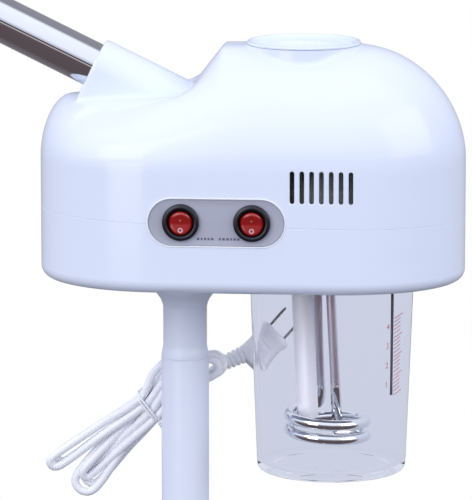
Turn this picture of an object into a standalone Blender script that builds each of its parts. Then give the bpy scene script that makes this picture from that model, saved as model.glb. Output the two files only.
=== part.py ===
"""A floor-standing facial steamer: a five-leg base on casters, a telescoping pole, a steamer
head with a clear water jar hanging under it, and a chrome steam arm that ends in a nozzle.

+X is the head's right as its switches face you, +Y is its back, and +Z is up.
The origin is on the pole's axis, on the underside of the base's hub.
Head pieces are placed from the underside of the head, which is at HEAD_Z."""

import math

import bmesh
import bpy
from mathutils import Matrix, Vector

MM = 0.001
GAP = 0.3 * MM  # left between two pieces that rest on each other

# Base and pole
FLOOR_Z = -75 * MM
LEG_COUNT = 5
LEG_REACH = 235 * MM  # pole axis to caster axis
HUB_RADIUS = 45 * MM
HUB_HEIGHT = 52 * MM
TIP_RADIUS = 17 * MM
TIP_LOW, TIP_HIGH = -12 * MM, 12 * MM
OUTER_POLE_RADIUS = 19 * MM
OUTER_POLE_BORE = 17.3 * MM
OUTER_POLE_LOW, OUTER_POLE_TOP = 12.3 * MM, 425 * MM
POLE_RADIUS = 15 * MM
POLE_BORE = 12.8 * MM
POLE_LOW = 160 * MM
NECK_LOW = -52 * MM  # where the head's neck meets the pole, from the head's underside
COLLAR_LOW, COLLAR_TOP = 386 * MM, 440 * MM
COLLAR_RADIUS = 26 * MM
CLAMP_Z = 405 * MM

# Casters, from each swivel axis
WHEEL_RADIUS = 25 * MM
WHEEL_HALF_WIDTH = 8 * MM
TRAIL = 18 * MM
AXLE_Z = FLOOR_Z + WHEEL_RADIUS
STEM_RADIUS = 5.5 * MM

# Head, from its underside
HEAD_Z = 875 * MM
HEAD_LEFT, HEAD_RIGHT = -90.5 * MM, 176 * MM
HEAD_HALF_DEPTH = 68 * MM
END_LENGTH = 80 * MM  # the plan's ends are half ellipses this long
WALL = 2.5 * MM
SEAM_Z = 43 * MM
ROLL_Z = 77 * MM  # where the sides start to roll over into the top
ROLL_POWER = 1.9
LEFT_ROLL, RIGHT_ROLL = 20 * MM, 67 * MM
RIDGE_HALF_DEPTH = 9 * MM
DECK_Z, DOME_Z = 115.2 * MM, 147.3 * MM
RAMP_START, RAMP_LENGTH = 0.0, 25 * MM  # the steep step from the deck to the dome
BOTTOM_ROUND = 9 * MM

# Steam arm: its axis passes through ARM_POINT and rises to the left
ARM_TILT = math.radians(26)
ARM_POINT = Vector((-60, 0, 134.3)) * MM
ARM_RADIUS = 14 * MM
ARM_BORE = 12.8 * MM
ARM_INSERT = 45 * MM
ARM_LENGTH = 340 * MM
SOCKET_RADIUS = 18 * MM
SOCKET_BORE = 14.4 * MM
SOCKET_MOUTH = -3.5 * MM
ELBOW_BEND = 24 * MM
ELBOW_RADIUS = 17.4 * MM
ELBOW_OUTLET = 30 * MM
NOZZLE_LENGTH = 66 * MM
NOZZLE_RADIUS = 33 * MM

# Lid, jar and what hangs in it
LID_X = 74.6 * MM
JAR_X = 92.6 * MM
JAR_RADIUS, JAR_FOOT_RADIUS = 52 * MM, 47 * MM
JAR_TOP, JAR_BOTTOM = 16 * MM, -122 * MM
COIL_X = 90 * MM
COIL_RADIUS = 24.2 * MM
COIL_TOP, COIL_PITCH = -85.5 * MM, 9.1 * MM
ELEMENT_RADIUS = 3.4 * MM

# Front panel
PANEL_X, PANEL_Z = 25.9 * MM, 45.2 * MM
PANEL_LENGTH, PANEL_HEIGHT = 84 * MM, 29 * MM
SWITCH_SPACING = 43.8 * MM
SWITCH_BEZEL = 11.5 * MM
ROCKER_TILT = math.radians(8)
VENT_COUNT, VENT_PITCH, VENT_WIDTH, VENT_HEIGHT = 7, 6 * MM, 2.9 * MM, 20.2 * MM
VENT_X, VENT_Z = 90.4 * MM, 67.5 * MM

# Mains cord
CORD_RADIUS = 2.6 * MM
HANK_FRONT, HANK_BACK = 22 * MM, 42 * MM
# The hank's two halves, as circles of (x, z) and radius in millimetres
HANK_TOP = (((15, -63), 10), ((-6, -60), 10), ((-22, -74), 9.5), ((-26, -91), 12))
HANK_LOOPS = (((-26, -91), 12), ((-85, -126.5), 8), ((-66.5, -141), 10))
TIE_AT = Vector((-26, 32, -91)) * MM
TIE_WAY = Vector((-0.8, 0, -0.6))
TIE_RADIUS = 17.5 * MM
GLAND_AT = Vector((-8, 32, 0)) * MM
GLAND_LENGTH = 26 * MM
BOOT_AT, BOOT_WAY = Vector((17.3, 54.5, -68.1)) * MM, Vector((0.874, 0.324, 0.362))
BOOT_LENGTH = 20 * MM
PLUG_AT, PLUG_WAY = Vector((51, 71, -50.7)) * MM, Vector((0.624, 0.444, 0.643))
PLUG_SPREAD = Vector((0.727, -0.029, -0.686))  # from one blade to the other
PLUG_WIDTH, PLUG_DEPTH, PLUG_LENGTH = 23 * MM, 15 * MM, 26 * MM
BLADE_SPACING, BLADE_LENGTH = 12.7 * MM, 16.5 * MM


# --- helpers -------------------------------------------------------------------------------


def clear_scene():
    for item in list(bpy.data.objects):
        bpy.data.objects.remove(item, do_unlink=True)


def finish(name, rgb, roughness, metallic=0.0, alpha=1.0):
    """A plain material with one colour."""
    mat = bpy.data.materials.new(name)
    mat.use_nodes = True
    shader = mat.node_tree.nodes["Principled BSDF"]
    shader.inputs["Base Color"].default_value = (*rgb, 1.0)
    shader.inputs["Roughness"].default_value = roughness
    shader.inputs["Metallic"].default_value = metallic
    shader.inputs["Alpha"].default_value = alpha
    return mat


def turn_to(axis):
    """The smallest turn that takes Z to axis."""
    return Vector((0, 0, 1)).rotation_difference(Vector(axis))


def frame_at(name, location, axis=(0, 0, 1), parent=None):
    """An empty whose own Z runs along axis."""
    empty = bpy.data.objects.new(name, None)
    bpy.context.collection.objects.link(empty)
    empty.parent = parent
    empty.location = location
    empty.rotation_mode = "QUATERNION"
    empty.rotation_quaternion = turn_to(axis)
    return empty


def place(name, bm, mat, parent=None, location=(0, 0, 0), axis=None):
    """Turns a bmesh into an object, with its faces pointing out."""
    bmesh.ops.recalc_face_normals(bm, faces=bm.faces)
    mesh = bpy.data.meshes.new(name)
    bm.to_mesh(mesh)
    bm.free()
    mesh.shade_smooth()
    mesh.set_sharp_from_angle(angle=math.radians(35))
    obj = bpy.data.objects.new(name, mesh)
    bpy.context.collection.objects.link(obj)
    obj.parent = parent
    obj.location = location
    if axis is not None:
        obj.rotation_mode = "QUATERNION"
        obj.rotation_quaternion = turn_to(axis)
    if mat:
        mesh.materials.append(mat)
    return obj


def boolean(obj, other, operation="DIFFERENCE"):
    """Joins or cuts obj with other, which is then left out of the model."""
    other.hide_render = True
    other.display_type = "WIRE"
    step = obj.modifiers.new(operation.lower(), "BOOLEAN")
    step.operation = operation
    step.solver = "EXACT"
    step.object = other
    return obj


def add_turned(bm, profile, segments=32, ring=False, centre=(0, 0, 0)):
    """Adds a solid of revolution about Z. The profile's (radius, height) points run from axis to
    axis, or around a loop that stays off the axis when ring is set. A flat end is one face."""
    rows = []
    for radius, height in profile:
        spokes = segments if radius > 1e-7 else 1
        row = []
        for step in range(spokes):
            turn = math.tau * step / segments
            spoke = Vector((radius * math.cos(turn), radius * math.sin(turn), height))
            row.append(bm.verts.new(Vector(centre) + spoke))
        rows.append(row)
    pairs = list(zip(rows, rows[1:] + rows[:1])) if ring else list(zip(rows, rows[1:]))
    for low, high in pairs:
        tip, loop = (low, high) if len(low) == 1 else (high, low)
        if len(tip) == 1 and abs(tip[0].co.z - loop[0].co.z) < 1e-7:
            bm.faces.new(loop)
            bm.verts.remove(tip[0])
            continue
        for step in range(segments):
            after = (step + 1) % segments
            if len(tip) == 1:
                bm.faces.new((loop[step], loop[after], tip[0]))
            else:
                bm.faces.new((low[step], low[after], high[after], high[step]))


def turned(name, profile, mat, segments=32, ring=False, **where):
    bm = bmesh.new()
    add_turned(bm, profile, segments, ring)
    return place(name, bm, mat, **where)


def cylinder(name, radius, low, high, mat=None, segments=24, **where):
    profile = [(0, low), (radius, low), (radius, high), (0, high)]
    return turned(name, profile, mat, segments, **where)


def add_prism(bm, outline, low, high, move=None):
    """Adds an outline in X and Y, extruded along Z from low to high."""
    rows = []
    for height in (low, high):
        row = []
        for x, y in outline:
            point = Vector((x, y, height))
            row.append(bm.verts.new(move @ point if move else point))
        rows.append(row)
    bm.faces.new(rows[0][::-1])
    bm.faces.new(rows[1])
    for a in range(len(outline)):
        b = (a + 1) % len(outline)
        bm.faces.new((rows[0][a], rows[0][b], rows[1][b], rows[1][a]))


def prism(name, outline, low, high, mat=None, **where):
    bm = bmesh.new()
    add_prism(bm, outline, low, high)
    return place(name, bm, mat, **where)


def block(name, size, centre, mat=None, bevel=0.0, **where):
    """A box, with its edges bevelled where a bevel width is given."""
    x, y, z = (side / 2 for side in size)
    outline = [(-x, -y), (x, -y), (x, y), (-x, y)]
    bm = bmesh.new()
    add_prism(bm, outline, -z, z)
    bmesh.ops.translate(bm, verts=bm.verts, vec=centre)
    if bevel:
        bmesh.ops.bevel(bm, geom=bm.edges[:], offset=bevel, segments=1, affect="EDGES")
    return place(name, bm, mat, **where)


def arc(centre, radius, start, end, steps):
    """Points on a circle, with the angles in degrees."""
    points = []
    for step in range(steps + 1):
        turn = math.radians(start + (end - start) * step / steps)
        points.append((centre[0] + radius * math.cos(turn), centre[1] + radius * math.sin(turn)))
    return points


def stadium(length, height, steps=8, centre=(0, 0)):
    reach, radius = (length - height) / 2, height / 2
    right = arc((centre[0] + reach, centre[1]), radius, -90, 90, steps)
    left = arc((centre[0] - reach, centre[1]), radius, 90, 270, steps)
    return right + left


def rod(name, points, radius, mat, resolution=2, parent=None):
    """A round rod along a line of points, with closed ends."""
    curve = bpy.data.curves.new(name, "CURVE")
    curve.dimensions = "3D"
    curve.bevel_depth = radius
    curve.bevel_resolution = resolution
    curve.use_fill_caps = True
    spline = curve.splines.new("POLY")
    spline.points.add(len(points) - 1)
    for slot, point in zip(spline.points, points):
        slot.co = (*point, 1.0)
    curve.materials.append(mat)
    obj = bpy.data.objects.new(name, curve)
    bpy.context.collection.objects.link(obj)
    obj.parent = parent
    return obj


def smooth_route(points, spacing):
    """Points about this far apart on a smooth curve through the given ones."""
    ends = [points[0] * 2 - points[1]] + list(points) + [points[-1] * 2 - points[-2]]
    route = [points[0]]
    for before, a, b, after in zip(ends, ends[1:], ends[2:], ends[3:]):
        steps = max(1, round((b - a).length / spacing))
        for step in range(1, steps + 1):
            t = step / steps
            slope_a, slope_b = (b - before) / 2, (after - a) / 2
            route.append(
                a * (2 * t**3 - 3 * t**2 + 1)
                + slope_a * (t**3 - 2 * t**2 + t)
                + b * (3 * t**2 - 2 * t**3)
                + slope_b * (t**3 - t**2)
            )
    return route


def pipe(name, path, outer, inner, mat, sides=24, parent=None):
    """A hollow pipe along a path in the XZ plane."""
    bm = bmesh.new()
    rows = {outer: [], inner: []}
    across = Vector((0, 1, 0))
    for here, point in enumerate(path):
        before, after = path[max(here - 1, 0)], path[min(here + 1, len(path) - 1)]
        normal = (after - before).normalized().cross(across)
        for radius, row in rows.items():
            ring = []
            for step in range(sides):
                turn = math.tau * step / sides
                spoke = across * math.cos(turn) + normal * math.sin(turn)
                ring.append(bm.verts.new(point + spoke * radius))
            row.append(ring)
    for row in rows.values():
        for low, high in zip(row, row[1:]):
            for a in range(sides):
                b = (a + 1) % sides
                bm.faces.new((low[a], low[b], high[b], high[a]))
    for end in (0, -1):
        out, into = rows[outer][end], rows[inner][end]
        for a in range(sides):
            b = (a + 1) % sides
            bm.faces.new((out[a], out[b], into[b], into[a]))
    return place(name, bm, mat, parent)


# --- base, pole and casters ----------------------------------------------------------------


def leg_spots():
    """Each caster's swivel point and the direction of its leg."""
    spots = []
    for leg in range(LEG_COUNT):
        turn = math.radians(-90 + 360 * leg / LEG_COUNT)
        out = Vector((math.cos(turn), math.sin(turn), 0))
        spots.append((out * LEG_REACH, out, turn))
    return spots


def make_star_base(mat):
    root, tip = 36 * MM, LEG_REACH - 4 * MM
    outline = [(root, -17 * MM), (tip, -12 * MM), (tip, 12 * MM), (root, 17 * MM)]
    legs, tips, holes = bmesh.new(), bmesh.new(), bmesh.new()
    for spot, _, turn in leg_spots():
        rows = []
        for x, y in outline:
            way = (x - root) / (tip - root)
            top = 45 * MM + (TIP_HIGH - 46 * MM) * way
            low = 2 * MM + (TIP_LOW + 1 * MM - 2 * MM) * way
            rows.append((x, y, low, top))
        spin = Matrix.Rotation(turn, 3, "Z")
        low_ring = [legs.verts.new(spin @ Vector((x, y, low))) for x, y, low, _ in rows]
        top_ring = [legs.verts.new(spin @ Vector((x, y, top))) for x, y, _, top in rows]
        legs.faces.new(low_ring[::-1])
        legs.faces.new(top_ring)
        for a in range(4):
            b = (a + 1) % 4
            legs.faces.new((low_ring[a], low_ring[b], top_ring[b], top_ring[a]))
        boss = [(0, TIP_LOW), (TIP_RADIUS, TIP_LOW), (TIP_RADIUS, 8 * MM)]
        boss += [(TIP_RADIUS - 4 * MM, TIP_HIGH), (0, TIP_HIGH)]
        add_turned(tips, boss, 14, centre=spot)
        hole = STEM_RADIUS + 2 * GAP
        bore = [(0, TIP_LOW - MM), (hole, TIP_LOW - MM), (hole, 6.5 * MM), (0, 6.5 * MM)]
        add_turned(holes, bore, 10, centre=spot)
    hub = [(0, 0), (HUB_RADIUS - 2 * MM, 0), (HUB_RADIUS, 2 * MM), (HUB_RADIUS, 34 * MM)]
    hub += [(38 * MM, 44 * MM), (27 * MM, 47 * MM), (25 * MM, HUB_HEIGHT), (0, HUB_HEIGHT)]
    base = turned("star_base", hub, mat, 28)
    boolean(base, place("legs", legs, None), "UNION")
    boolean(base, place("tips", tips, None), "UNION")
    boolean(base, place("stem_holes", holes, None))
    socket = OUTER_POLE_RADIUS + GAP
    boolean(base, cylinder("pole_socket", socket, 12 * MM, 60 * MM, segments=28))
    side = frame_at("hub_screw_axis", (0, 0, 30 * MM), (0, 1, 0))
    boolean(base, cylinder("hub_screw_hole", 3.3 * MM, 15 * MM, 60 * MM, segments=8, parent=side))
    return base


def make_hub_screw(mat):
    axis = bpy.data.objects["hub_screw_axis"]
    profile = [(0, 19.6 * MM), (3 * MM, 19.6 * MM), (3 * MM, 45.3 * MM), (5.5 * MM, 45.3 * MM)]
    profile += [(5.5 * MM, 50 * MM), (2.5 * MM, 50 * MM), (2.5 * MM, 47 * MM), (0, 47 * MM)]
    turned("hub_screw", profile, mat, 12, parent=axis)


def make_casters(plastic, tread, steel):
    for number, (spot, out, turn) in enumerate(leg_spots(), 1):
        swivel = frame_at(f"caster_{number}_swivel", spot)
        swivel.rotation_quaternion = Matrix.Rotation(turn, 3, "Z").to_quaternion()
        top = TIP_LOW - GAP
        sides = [(-11, 0), (11, 0), (27, -28), (28, -36), (22, -45), (13, -45), (8, -36), (-11, -8)]
        outline = [(x * MM, top + z * MM) for x, z in sides]
        flat = frame_at(f"caster_{number}_side", (0, 0, 0), (0, -1, 0), swivel)
        fork = prism(f"caster_fork_{number}", outline, -12 * MM, 12 * MM, plastic, parent=flat)
        flat.rotation_quaternion = Matrix.Rotation(math.pi / 2, 3, "X").to_quaternion()
        stem = cylinder("stem", STEM_RADIUS, top - 3 * MM, 5.5 * MM, segments=10, parent=swivel)
        boolean(fork, stem, "UNION")
        axle = frame_at(f"caster_{number}_axle", (TRAIL, 0, AXLE_Z), (0, 1, 0), swivel)
        room = WHEEL_HALF_WIDTH + 0.8 * MM
        slot = cylinder("wheel_slot", WHEEL_RADIUS + 3 * MM, -room, room, None, 20, parent=axle)
        boolean(fork, slot)
        boolean(fork, cylinder("axle_hole", 2.8 * MM, -20 * MM, 20 * MM, None, 8, parent=axle))
        cylinder(f"caster_axle_{number}", 2.5 * MM, -11.6 * MM, 11.6 * MM, steel, 8, parent=axle)
        half, bore = WHEEL_HALF_WIDTH, 2.9 * MM
        rim = [(bore, -half), (WHEEL_RADIUS - 2.5 * MM, -half), (WHEEL_RADIUS, -half + 3 * MM)]
        profile = rim + [(radius, -height) for radius, height in reversed(rim)]
        turned(f"caster_wheel_{number}", profile, tread, 22, ring=True, parent=axle)


def make_pole(white, dark, steel):
    tube = [(OUTER_POLE_BORE, OUTER_POLE_LOW), (OUTER_POLE_RADIUS, OUTER_POLE_LOW)]
    tube += [(OUTER_POLE_RADIUS, OUTER_POLE_TOP), (OUTER_POLE_BORE, OUTER_POLE_TOP)]
    turned("outer_pole", tube, white, 28, ring=True)

    slide = POLE_RADIUS + GAP
    inside = OUTER_POLE_BORE - GAP
    lip = OUTER_POLE_TOP + GAP
    bush = [(slide, 380 * MM), (inside, 380 * MM), (inside, lip), (18.8 * MM, lip)]
    bush += [(18.8 * MM, 430 * MM), (slide, 430 * MM)]
    turned("collar_bush", bush, dark, 28, ring=True)

    grip = OUTER_POLE_RADIUS + GAP
    shelf = 430 * MM + GAP
    collar = [(grip, COLLAR_LOW), (24 * MM, COLLAR_LOW), (COLLAR_RADIUS, COLLAR_LOW + 4 * MM)]
    collar += [(COLLAR_RADIUS, COLLAR_TOP - 8 * MM), (19 * MM, COLLAR_TOP)]
    collar += [(slide + GAP, COLLAR_TOP), (slide + GAP, shelf), (grip, shelf)]
    body = turned("clamp_collar", collar, dark, 28, ring=True)
    axis = frame_at("knob_axis", (0, 0, CLAMP_Z), (-1, 0, 0))
    boss = [(0, 21 * MM), (12 * MM, 21 * MM), (12 * MM, 34 * MM), (10 * MM, 38 * MM), (0, 38 * MM)]
    boolean(body, turned("clamp_boss", boss, None, 16, parent=axis), "UNION")
    boolean(body, cylinder("clamp_hole", 4.3 * MM, 15 * MM, 45 * MM, None, 12, parent=axis))
    boolean(body, cylinder("clamp_bore", grip, 380 * MM, shelf, None, 28))

    lobes = []
    for step in range(30):
        turn = math.tau * step / 30
        reach = 17.5 * MM + 2.5 * MM * math.cos(5 * turn)
        lobes.append((reach * math.cos(turn), reach * math.sin(turn)))
    knob = prism("height_knob", lobes, 39 * MM, 55 * MM, dark, parent=axis)
    shank = cylinder("knob_shank", 4 * MM, 19.6 * MM, 42 * MM, None, 12, parent=axis)
    boolean(knob, shank, "UNION")

    top = HEAD_Z + NECK_LOW
    tube = [(POLE_BORE, POLE_LOW), (POLE_RADIUS, POLE_LOW), (POLE_RADIUS, top - 3 * MM)]
    tube += [(POLE_RADIUS - 0.8 * MM, top), (POLE_BORE, top)]
    turned("inner_pole", tube, white, 28, ring=True)
    spigot, flange = POLE_BORE - GAP, OUTER_POLE_BORE - GAP
    foot = [(0, 138 * MM), (flange, 138 * MM), (flange, POLE_LOW - GAP), (spigot, POLE_LOW - GAP)]
    foot += [(spigot, POLE_LOW + 25 * MM), (0, POLE_LOW + 25 * MM)]
    turned("pole_foot", foot, dark, 28)


# --- head shells ---------------------------------------------------------------------------


def plan_stations():
    """Where the head's outline is sampled, from its left tip to its right tip over the back:
    the centre that each point is measured from, and its angle."""
    left, right = HEAD_LEFT + END_LENGTH, HEAD_RIGHT - END_LENGTH
    stations = [(left, math.radians(180 - 90 * step / 7)) for step in range(7)]
    for x in (left, -2 * MM, 4 * MM, 10 * MM, 17 * MM, 25 * MM, 42 * MM, 60 * MM, 78 * MM, right):
        stations.append((x, math.radians(90)))
    stations += [(right, math.radians(90 - 90 * step / 7)) for step in range(1, 8)]
    return stations


def clamp01(value):
    return min(1.0, max(0.0, value))


def smoothstep(value):
    value = clamp01(value)
    return value * value * (3 - 2 * value)


def crest(x, lift):
    """The height of the top at x. lift is 0 on the sides, where the step from the deck to the
    dome is long and soft, and 1 along the ridge, where it is steep."""
    steep = clamp01((x - RAMP_START) / RAMP_LENGTH)
    soft = smoothstep((x + 55 * MM) / (115 * MM))
    share = smoothstep((lift - 0.55) / 0.35)
    return DECK_Z + (DOME_Z - DECK_Z) * (share * steep + (1 - share) * soft)


def plan_point(centre, angle, inset):
    """A point on the head's outline, moved inwards by inset."""
    x = centre + (END_LENGTH - inset) * math.cos(angle)
    return x, (HEAD_HALF_DEPTH - inset) * math.sin(angle)


def top_point(centre, angle, inset, lift):
    """A point on the rolled top. lift goes from 0 at the side wall to 1 at the ridge."""
    edge_x, edge_y = plan_point(centre, angle, inset)
    roll = RIGHT_ROLL if math.cos(angle) > 0 else LEFT_ROLL
    ridge_x = centre + (END_LENGTH - roll) * math.cos(angle)
    ridge_y = RIDGE_HALF_DEPTH * math.sin(angle)
    turn = lift * math.pi / 2
    out = math.cos(turn) ** (2 / ROLL_POWER) if lift < 1 else 0.0
    rise = math.sin(turn) ** (2 / ROLL_POWER)
    x = ridge_x + (edge_x - ridge_x) * out
    y = ridge_y + (edge_y - ridge_y) * out
    return Vector((x, y, ROLL_Z + (crest(x, lift) - inset - ROLL_Z) * rise))


def stacked(name, levels, mat=None, parent=None):
    """A closed body from one loop of points per level, whose loops run from the left tip over
    the back to the right tip and home along the front."""
    stations = plan_stations()
    loops = list(stations) + [(centre, -angle) for centre, angle in stations[-2:0:-1]]
    bm = bmesh.new()
    rings = [[bm.verts.new(level(centre, angle)) for centre, angle in loops] for level in levels]
    count, half = len(loops), len(stations)
    for low, high in zip(rings, rings[1:]):
        for a in range(count):
            b = (a + 1) % count
            bm.faces.new((low[a], low[b], high[b], high[a]))
    for ring in (rings[0], rings[-1]):
        for a in range(half - 1):
            back = [ring[a], ring[a + 1]]
            front = [ring[(count - a - 1) % count], ring[(count - a) % count]]
            corners = []
            for corner in back + front:
                if corner not in corners:
                    corners.append(corner)
            bm.faces.new(corners)
    return place(name, bm, mat, parent)


def wall_level(inset, height):
    def level(centre, angle):
        x, y = plan_point(centre, angle, inset)
        return Vector((x, y, height))

    return level


def upper_levels(inset, start):
    levels = [wall_level(inset, start), wall_level(inset, ROLL_Z)]
    for step in range(1, 7):
        lift = step / 6
        levels.append(lambda centre, angle, lift=lift: top_point(centre, angle, inset, lift))
    return levels


def lower_levels(inset, top):
    levels = []
    for step in range(4):
        turn = math.radians(90 * step / 3)
        side = BOTTOM_ROUND * (1 - math.sin(turn)) + inset
        levels.append(wall_level(side, BOTTOM_ROUND * (1 - math.cos(turn)) + inset))
    levels.append(wall_level(inset, top))
    return levels


def panel_hole(parent):
    face = frame_at("panel_cut_face", (PANEL_X, 0, PANEL_Z), parent=parent)
    face.rotation_quaternion = Matrix.Rotation(math.pi / 2, 3, "X").to_quaternion()
    outline = stadium(PANEL_LENGTH + 2 * GAP, PANEL_HEIGHT + 2 * GAP)
    return prism("panel_cut", outline, 55 * MM, 80 * MM, parent=face)


def make_upper_shell(mat, head, arm):
    shell = stacked("upper_shell", upper_levels(0.0, SEAM_Z + GAP / 2), mat, head)
    arch = arc((0, 0), SOCKET_RADIUS, -90, 90, 12) + [(-40 * MM, 18.4 * MM), (-40 * MM, -18.4 * MM)]
    socket = prism("socket_block", arch, -78 * MM, SOCKET_MOUTH, parent=arm)
    boolean(shell, socket, "UNION")
    rim = cylinder("lid_collar", 35.2 * MM, 112 * MM, DOME_Z + 0.4 * MM, None, 32, parent=head)
    rim.location = (LID_X, 0, 0)
    boolean(shell, rim, "UNION")
    hollow = stacked("upper_hollow", upper_levels(WALL, SEAM_Z - 5 * MM), None, head)
    boolean(shell, hollow)
    boolean(shell, cylinder("socket_bore", SOCKET_BORE, -90 * MM, 10 * MM, None, 32, parent=arm))
    bore = cylinder("lid_bore", 31 * MM, 100 * MM, 160 * MM, None, 32, parent=head)
    bore.location = (LID_X, 0, 0)
    boolean(shell, bore)
    vents = bmesh.new()
    for number in range(VENT_COUNT):
        x = VENT_X + (number - (VENT_COUNT - 1) / 2) * VENT_PITCH
        slot = [(x + b, a) for a, b in stadium(VENT_HEIGHT, VENT_WIDTH, 2)]
        add_prism(vents, slot, 50 * MM, 80 * MM)
    face = frame_at("vent_face", (0, 0, VENT_Z), parent=head)
    face.rotation_quaternion = Matrix.Rotation(math.pi / 2, 3, "X").to_quaternion()
    boolean(shell, place("vent_cuts", vents, None, face))
    boolean(shell, panel_hole(head))


SCREW_SPOTS = ((-58, -34), (-58, 34), (148, -30), (148, 30))  # in millimetres


def make_lower_shell(mat, head):
    shell = stacked("lower_shell", lower_levels(0.0, SEAM_Z - GAP / 2), mat, head)
    boolean(shell, stacked("lower_hollow", lower_levels(WALL, SEAM_Z + 5 * MM), None, head))
    bosses, holes = bmesh.new(), bmesh.new()
    for x, y in SCREW_SPOTS:
        spot = (x * MM, y * MM, 0)
        post = [(0, 1 * MM), (5 * MM, 1 * MM), (5 * MM, 23.6 * MM), (0, 23.6 * MM)]
        add_turned(bosses, post, 8, centre=spot)
        hole = [(0, -MM), (4.5 * MM, -MM), (4.5 * MM, 3 * MM), (2.3 * MM, 3 * MM)]
        hole += [(2.3 * MM, 30 * MM), (0, 30 * MM)]
        add_turned(holes, hole, 8, centre=spot)
    boolean(shell, place("screw_bosses", bosses, None, head), "UNION")
    boolean(shell, place("screw_holes", holes, None, head))
    mouth = cylinder("jar_opening", 56.8 * MM, -5 * MM, 12 * MM, None, 36, parent=head)
    mouth.location = (JAR_X, 0, 0)
    boolean(shell, mouth)
    boolean(shell, cylinder("neck_hole", 16 * MM, -5 * MM, 12 * MM, None, 32, parent=head))
    gland = cylinder("gland_hole", 4.8 * MM, -5 * MM, 12 * MM, None, 16, parent=head)
    gland.location = GLAND_AT
    boolean(shell, gland)
    boolean(shell, bpy.data.objects["panel_cut"])


# --- inside the head -----------------------------------------------------------------------


def make_chassis(steel, head):
    plate = stacked(
        "chassis_plate", [wall_level(5 * MM, 24 * MM), wall_level(5 * MM, 25.5 * MM)], steel, head
    )
    opening = cylinder("chamber_opening", 58 * MM, 15 * MM, 35 * MM, None, 28, parent=head)
    opening.location = (JAR_X, 0, 0)
    boolean(plate, opening)
    holes = bmesh.new()
    for x, y in SCREW_SPOTS:
        hole = [(0, 20 * MM), (2.3 * MM, 20 * MM), (2.3 * MM, 30 * MM), (0, 30 * MM)]
        add_turned(holes, hole, 8, centre=(x * MM, y * MM, 0))
    boolean(plate, place("chassis_holes", holes, None, head))
    for number, (x, y) in enumerate(SCREW_SPOTS, 1):
        screw = [(0, 0.4 * MM), (4 * MM, 0.4 * MM), (4 * MM, 2.7 * MM), (2 * MM, 2.7 * MM)]
        screw += [(2 * MM, 28 * MM), (0, 29 * MM)]
        turned(f"shell_screw_{number}", screw, steel, 8, parent=head, location=(x * MM, y * MM, 0))


def make_neck(white, head):
    spigot, fit = POLE_BORE - GAP, NECK_LOW + GAP
    profile = [(10 * MM, -90 * MM), (spigot, -90 * MM), (spigot, fit), (14.8 * MM, fit)]
    profile += [(13.8 * MM, NECK_LOW + 6 * MM), (13.8 * MM, -19 * MM), (15.2 * MM, -15 * MM)]
    profile += [(19 * MM, -9 * MM), (19 * MM, -GAP)]
    profile += [(15.7 * MM, -GAP), (15.7 * MM, 2.8 * MM), (23 * MM, 2.8 * MM), (23 * MM, 6 * MM)]
    profile += [(15.7 * MM, 6 * MM), (15.7 * MM, 23.7 * MM), (10 * MM, 23.7 * MM)]
    turned("pole_neck", profile, white, 24, ring=True, parent=head)


def make_jar(glass, rubber, white, head):
    at = (JAR_X, 0, 0)
    wall, round_out, round_in = 3 * MM, 8 * MM, 5 * MM
    slope = (JAR_RADIUS - JAR_FOOT_RADIUS) / (JAR_TOP - JAR_BOTTOM - round_out)
    foot = JAR_BOTTOM + round_out
    profile = [(0, JAR_BOTTOM)]
    profile += arc((JAR_FOOT_RADIUS - round_out, foot), round_out, -90, 0, 3)
    profile += [(JAR_RADIUS, JAR_TOP), (JAR_RADIUS - wall, JAR_TOP)]
    floor = JAR_BOTTOM + 5 * MM
    inner = JAR_FOOT_RADIUS - wall + slope * round_in
    profile += arc((inner - round_in, floor + round_in), round_in, 0, -90, 2) + [(0, floor)]
    turned("glass_jar", profile, glass, 36, parent=head, location=at)
    inside = JAR_RADIUS + 0.4 * MM
    ring = [(inside, 0.4 * MM), (56.5 * MM, 0.4 * MM), (56.5 * MM, 3.3 * MM), (58 * MM, 3.3 * MM)]
    ring += [(58 * MM, 6 * MM), (56.5 * MM, 7 * MM), (56.5 * MM, 15.5 * MM), (inside, 15.5 * MM)]
    turned("jar_lock_ring", ring, white, 32, ring=True, parent=head, location=at)
    low, high = JAR_TOP + GAP, 18.6 * MM
    seal = [(45 * MM, low), (54 * MM, low), (54 * MM, high), (45 * MM, high)]
    turned("jar_gasket", seal, rubber, 32, ring=True, parent=head, location=at)


def element_line():
    """The heater's line: down one leg, two turns of the coil, and up the other leg."""
    line = [Vector((83, 12, 30)) * MM, Vector((83, 12, 10)) * MM, Vector((84.5, 14, -30)) * MM]
    line += [Vector((86, 17, -66)) * MM, Vector((86.2, 20, -78)) * MM]
    steps, start, sweep = 34, 108, 680
    for step in range(steps + 1):
        turn = math.radians(start + sweep * step / steps)
        radius = COIL_RADIUS - 9 * MM * smoothstep((step / steps - 0.9) / 0.1)
        drop = COIL_PITCH * sweep / 360 * step / steps
        line.append(
            Vector((COIL_X + radius * math.cos(turn), radius * math.sin(turn), COIL_TOP - drop))
        )
    line += [Vector((97.4, 14.4, -97)) * MM, Vector((97.2, 14.3, -80)) * MM]
    line += [Vector((95, 13, -40)) * MM, Vector((91.5, 12, 10)) * MM, Vector((91.5, 12, 30)) * MM]
    return line


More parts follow.
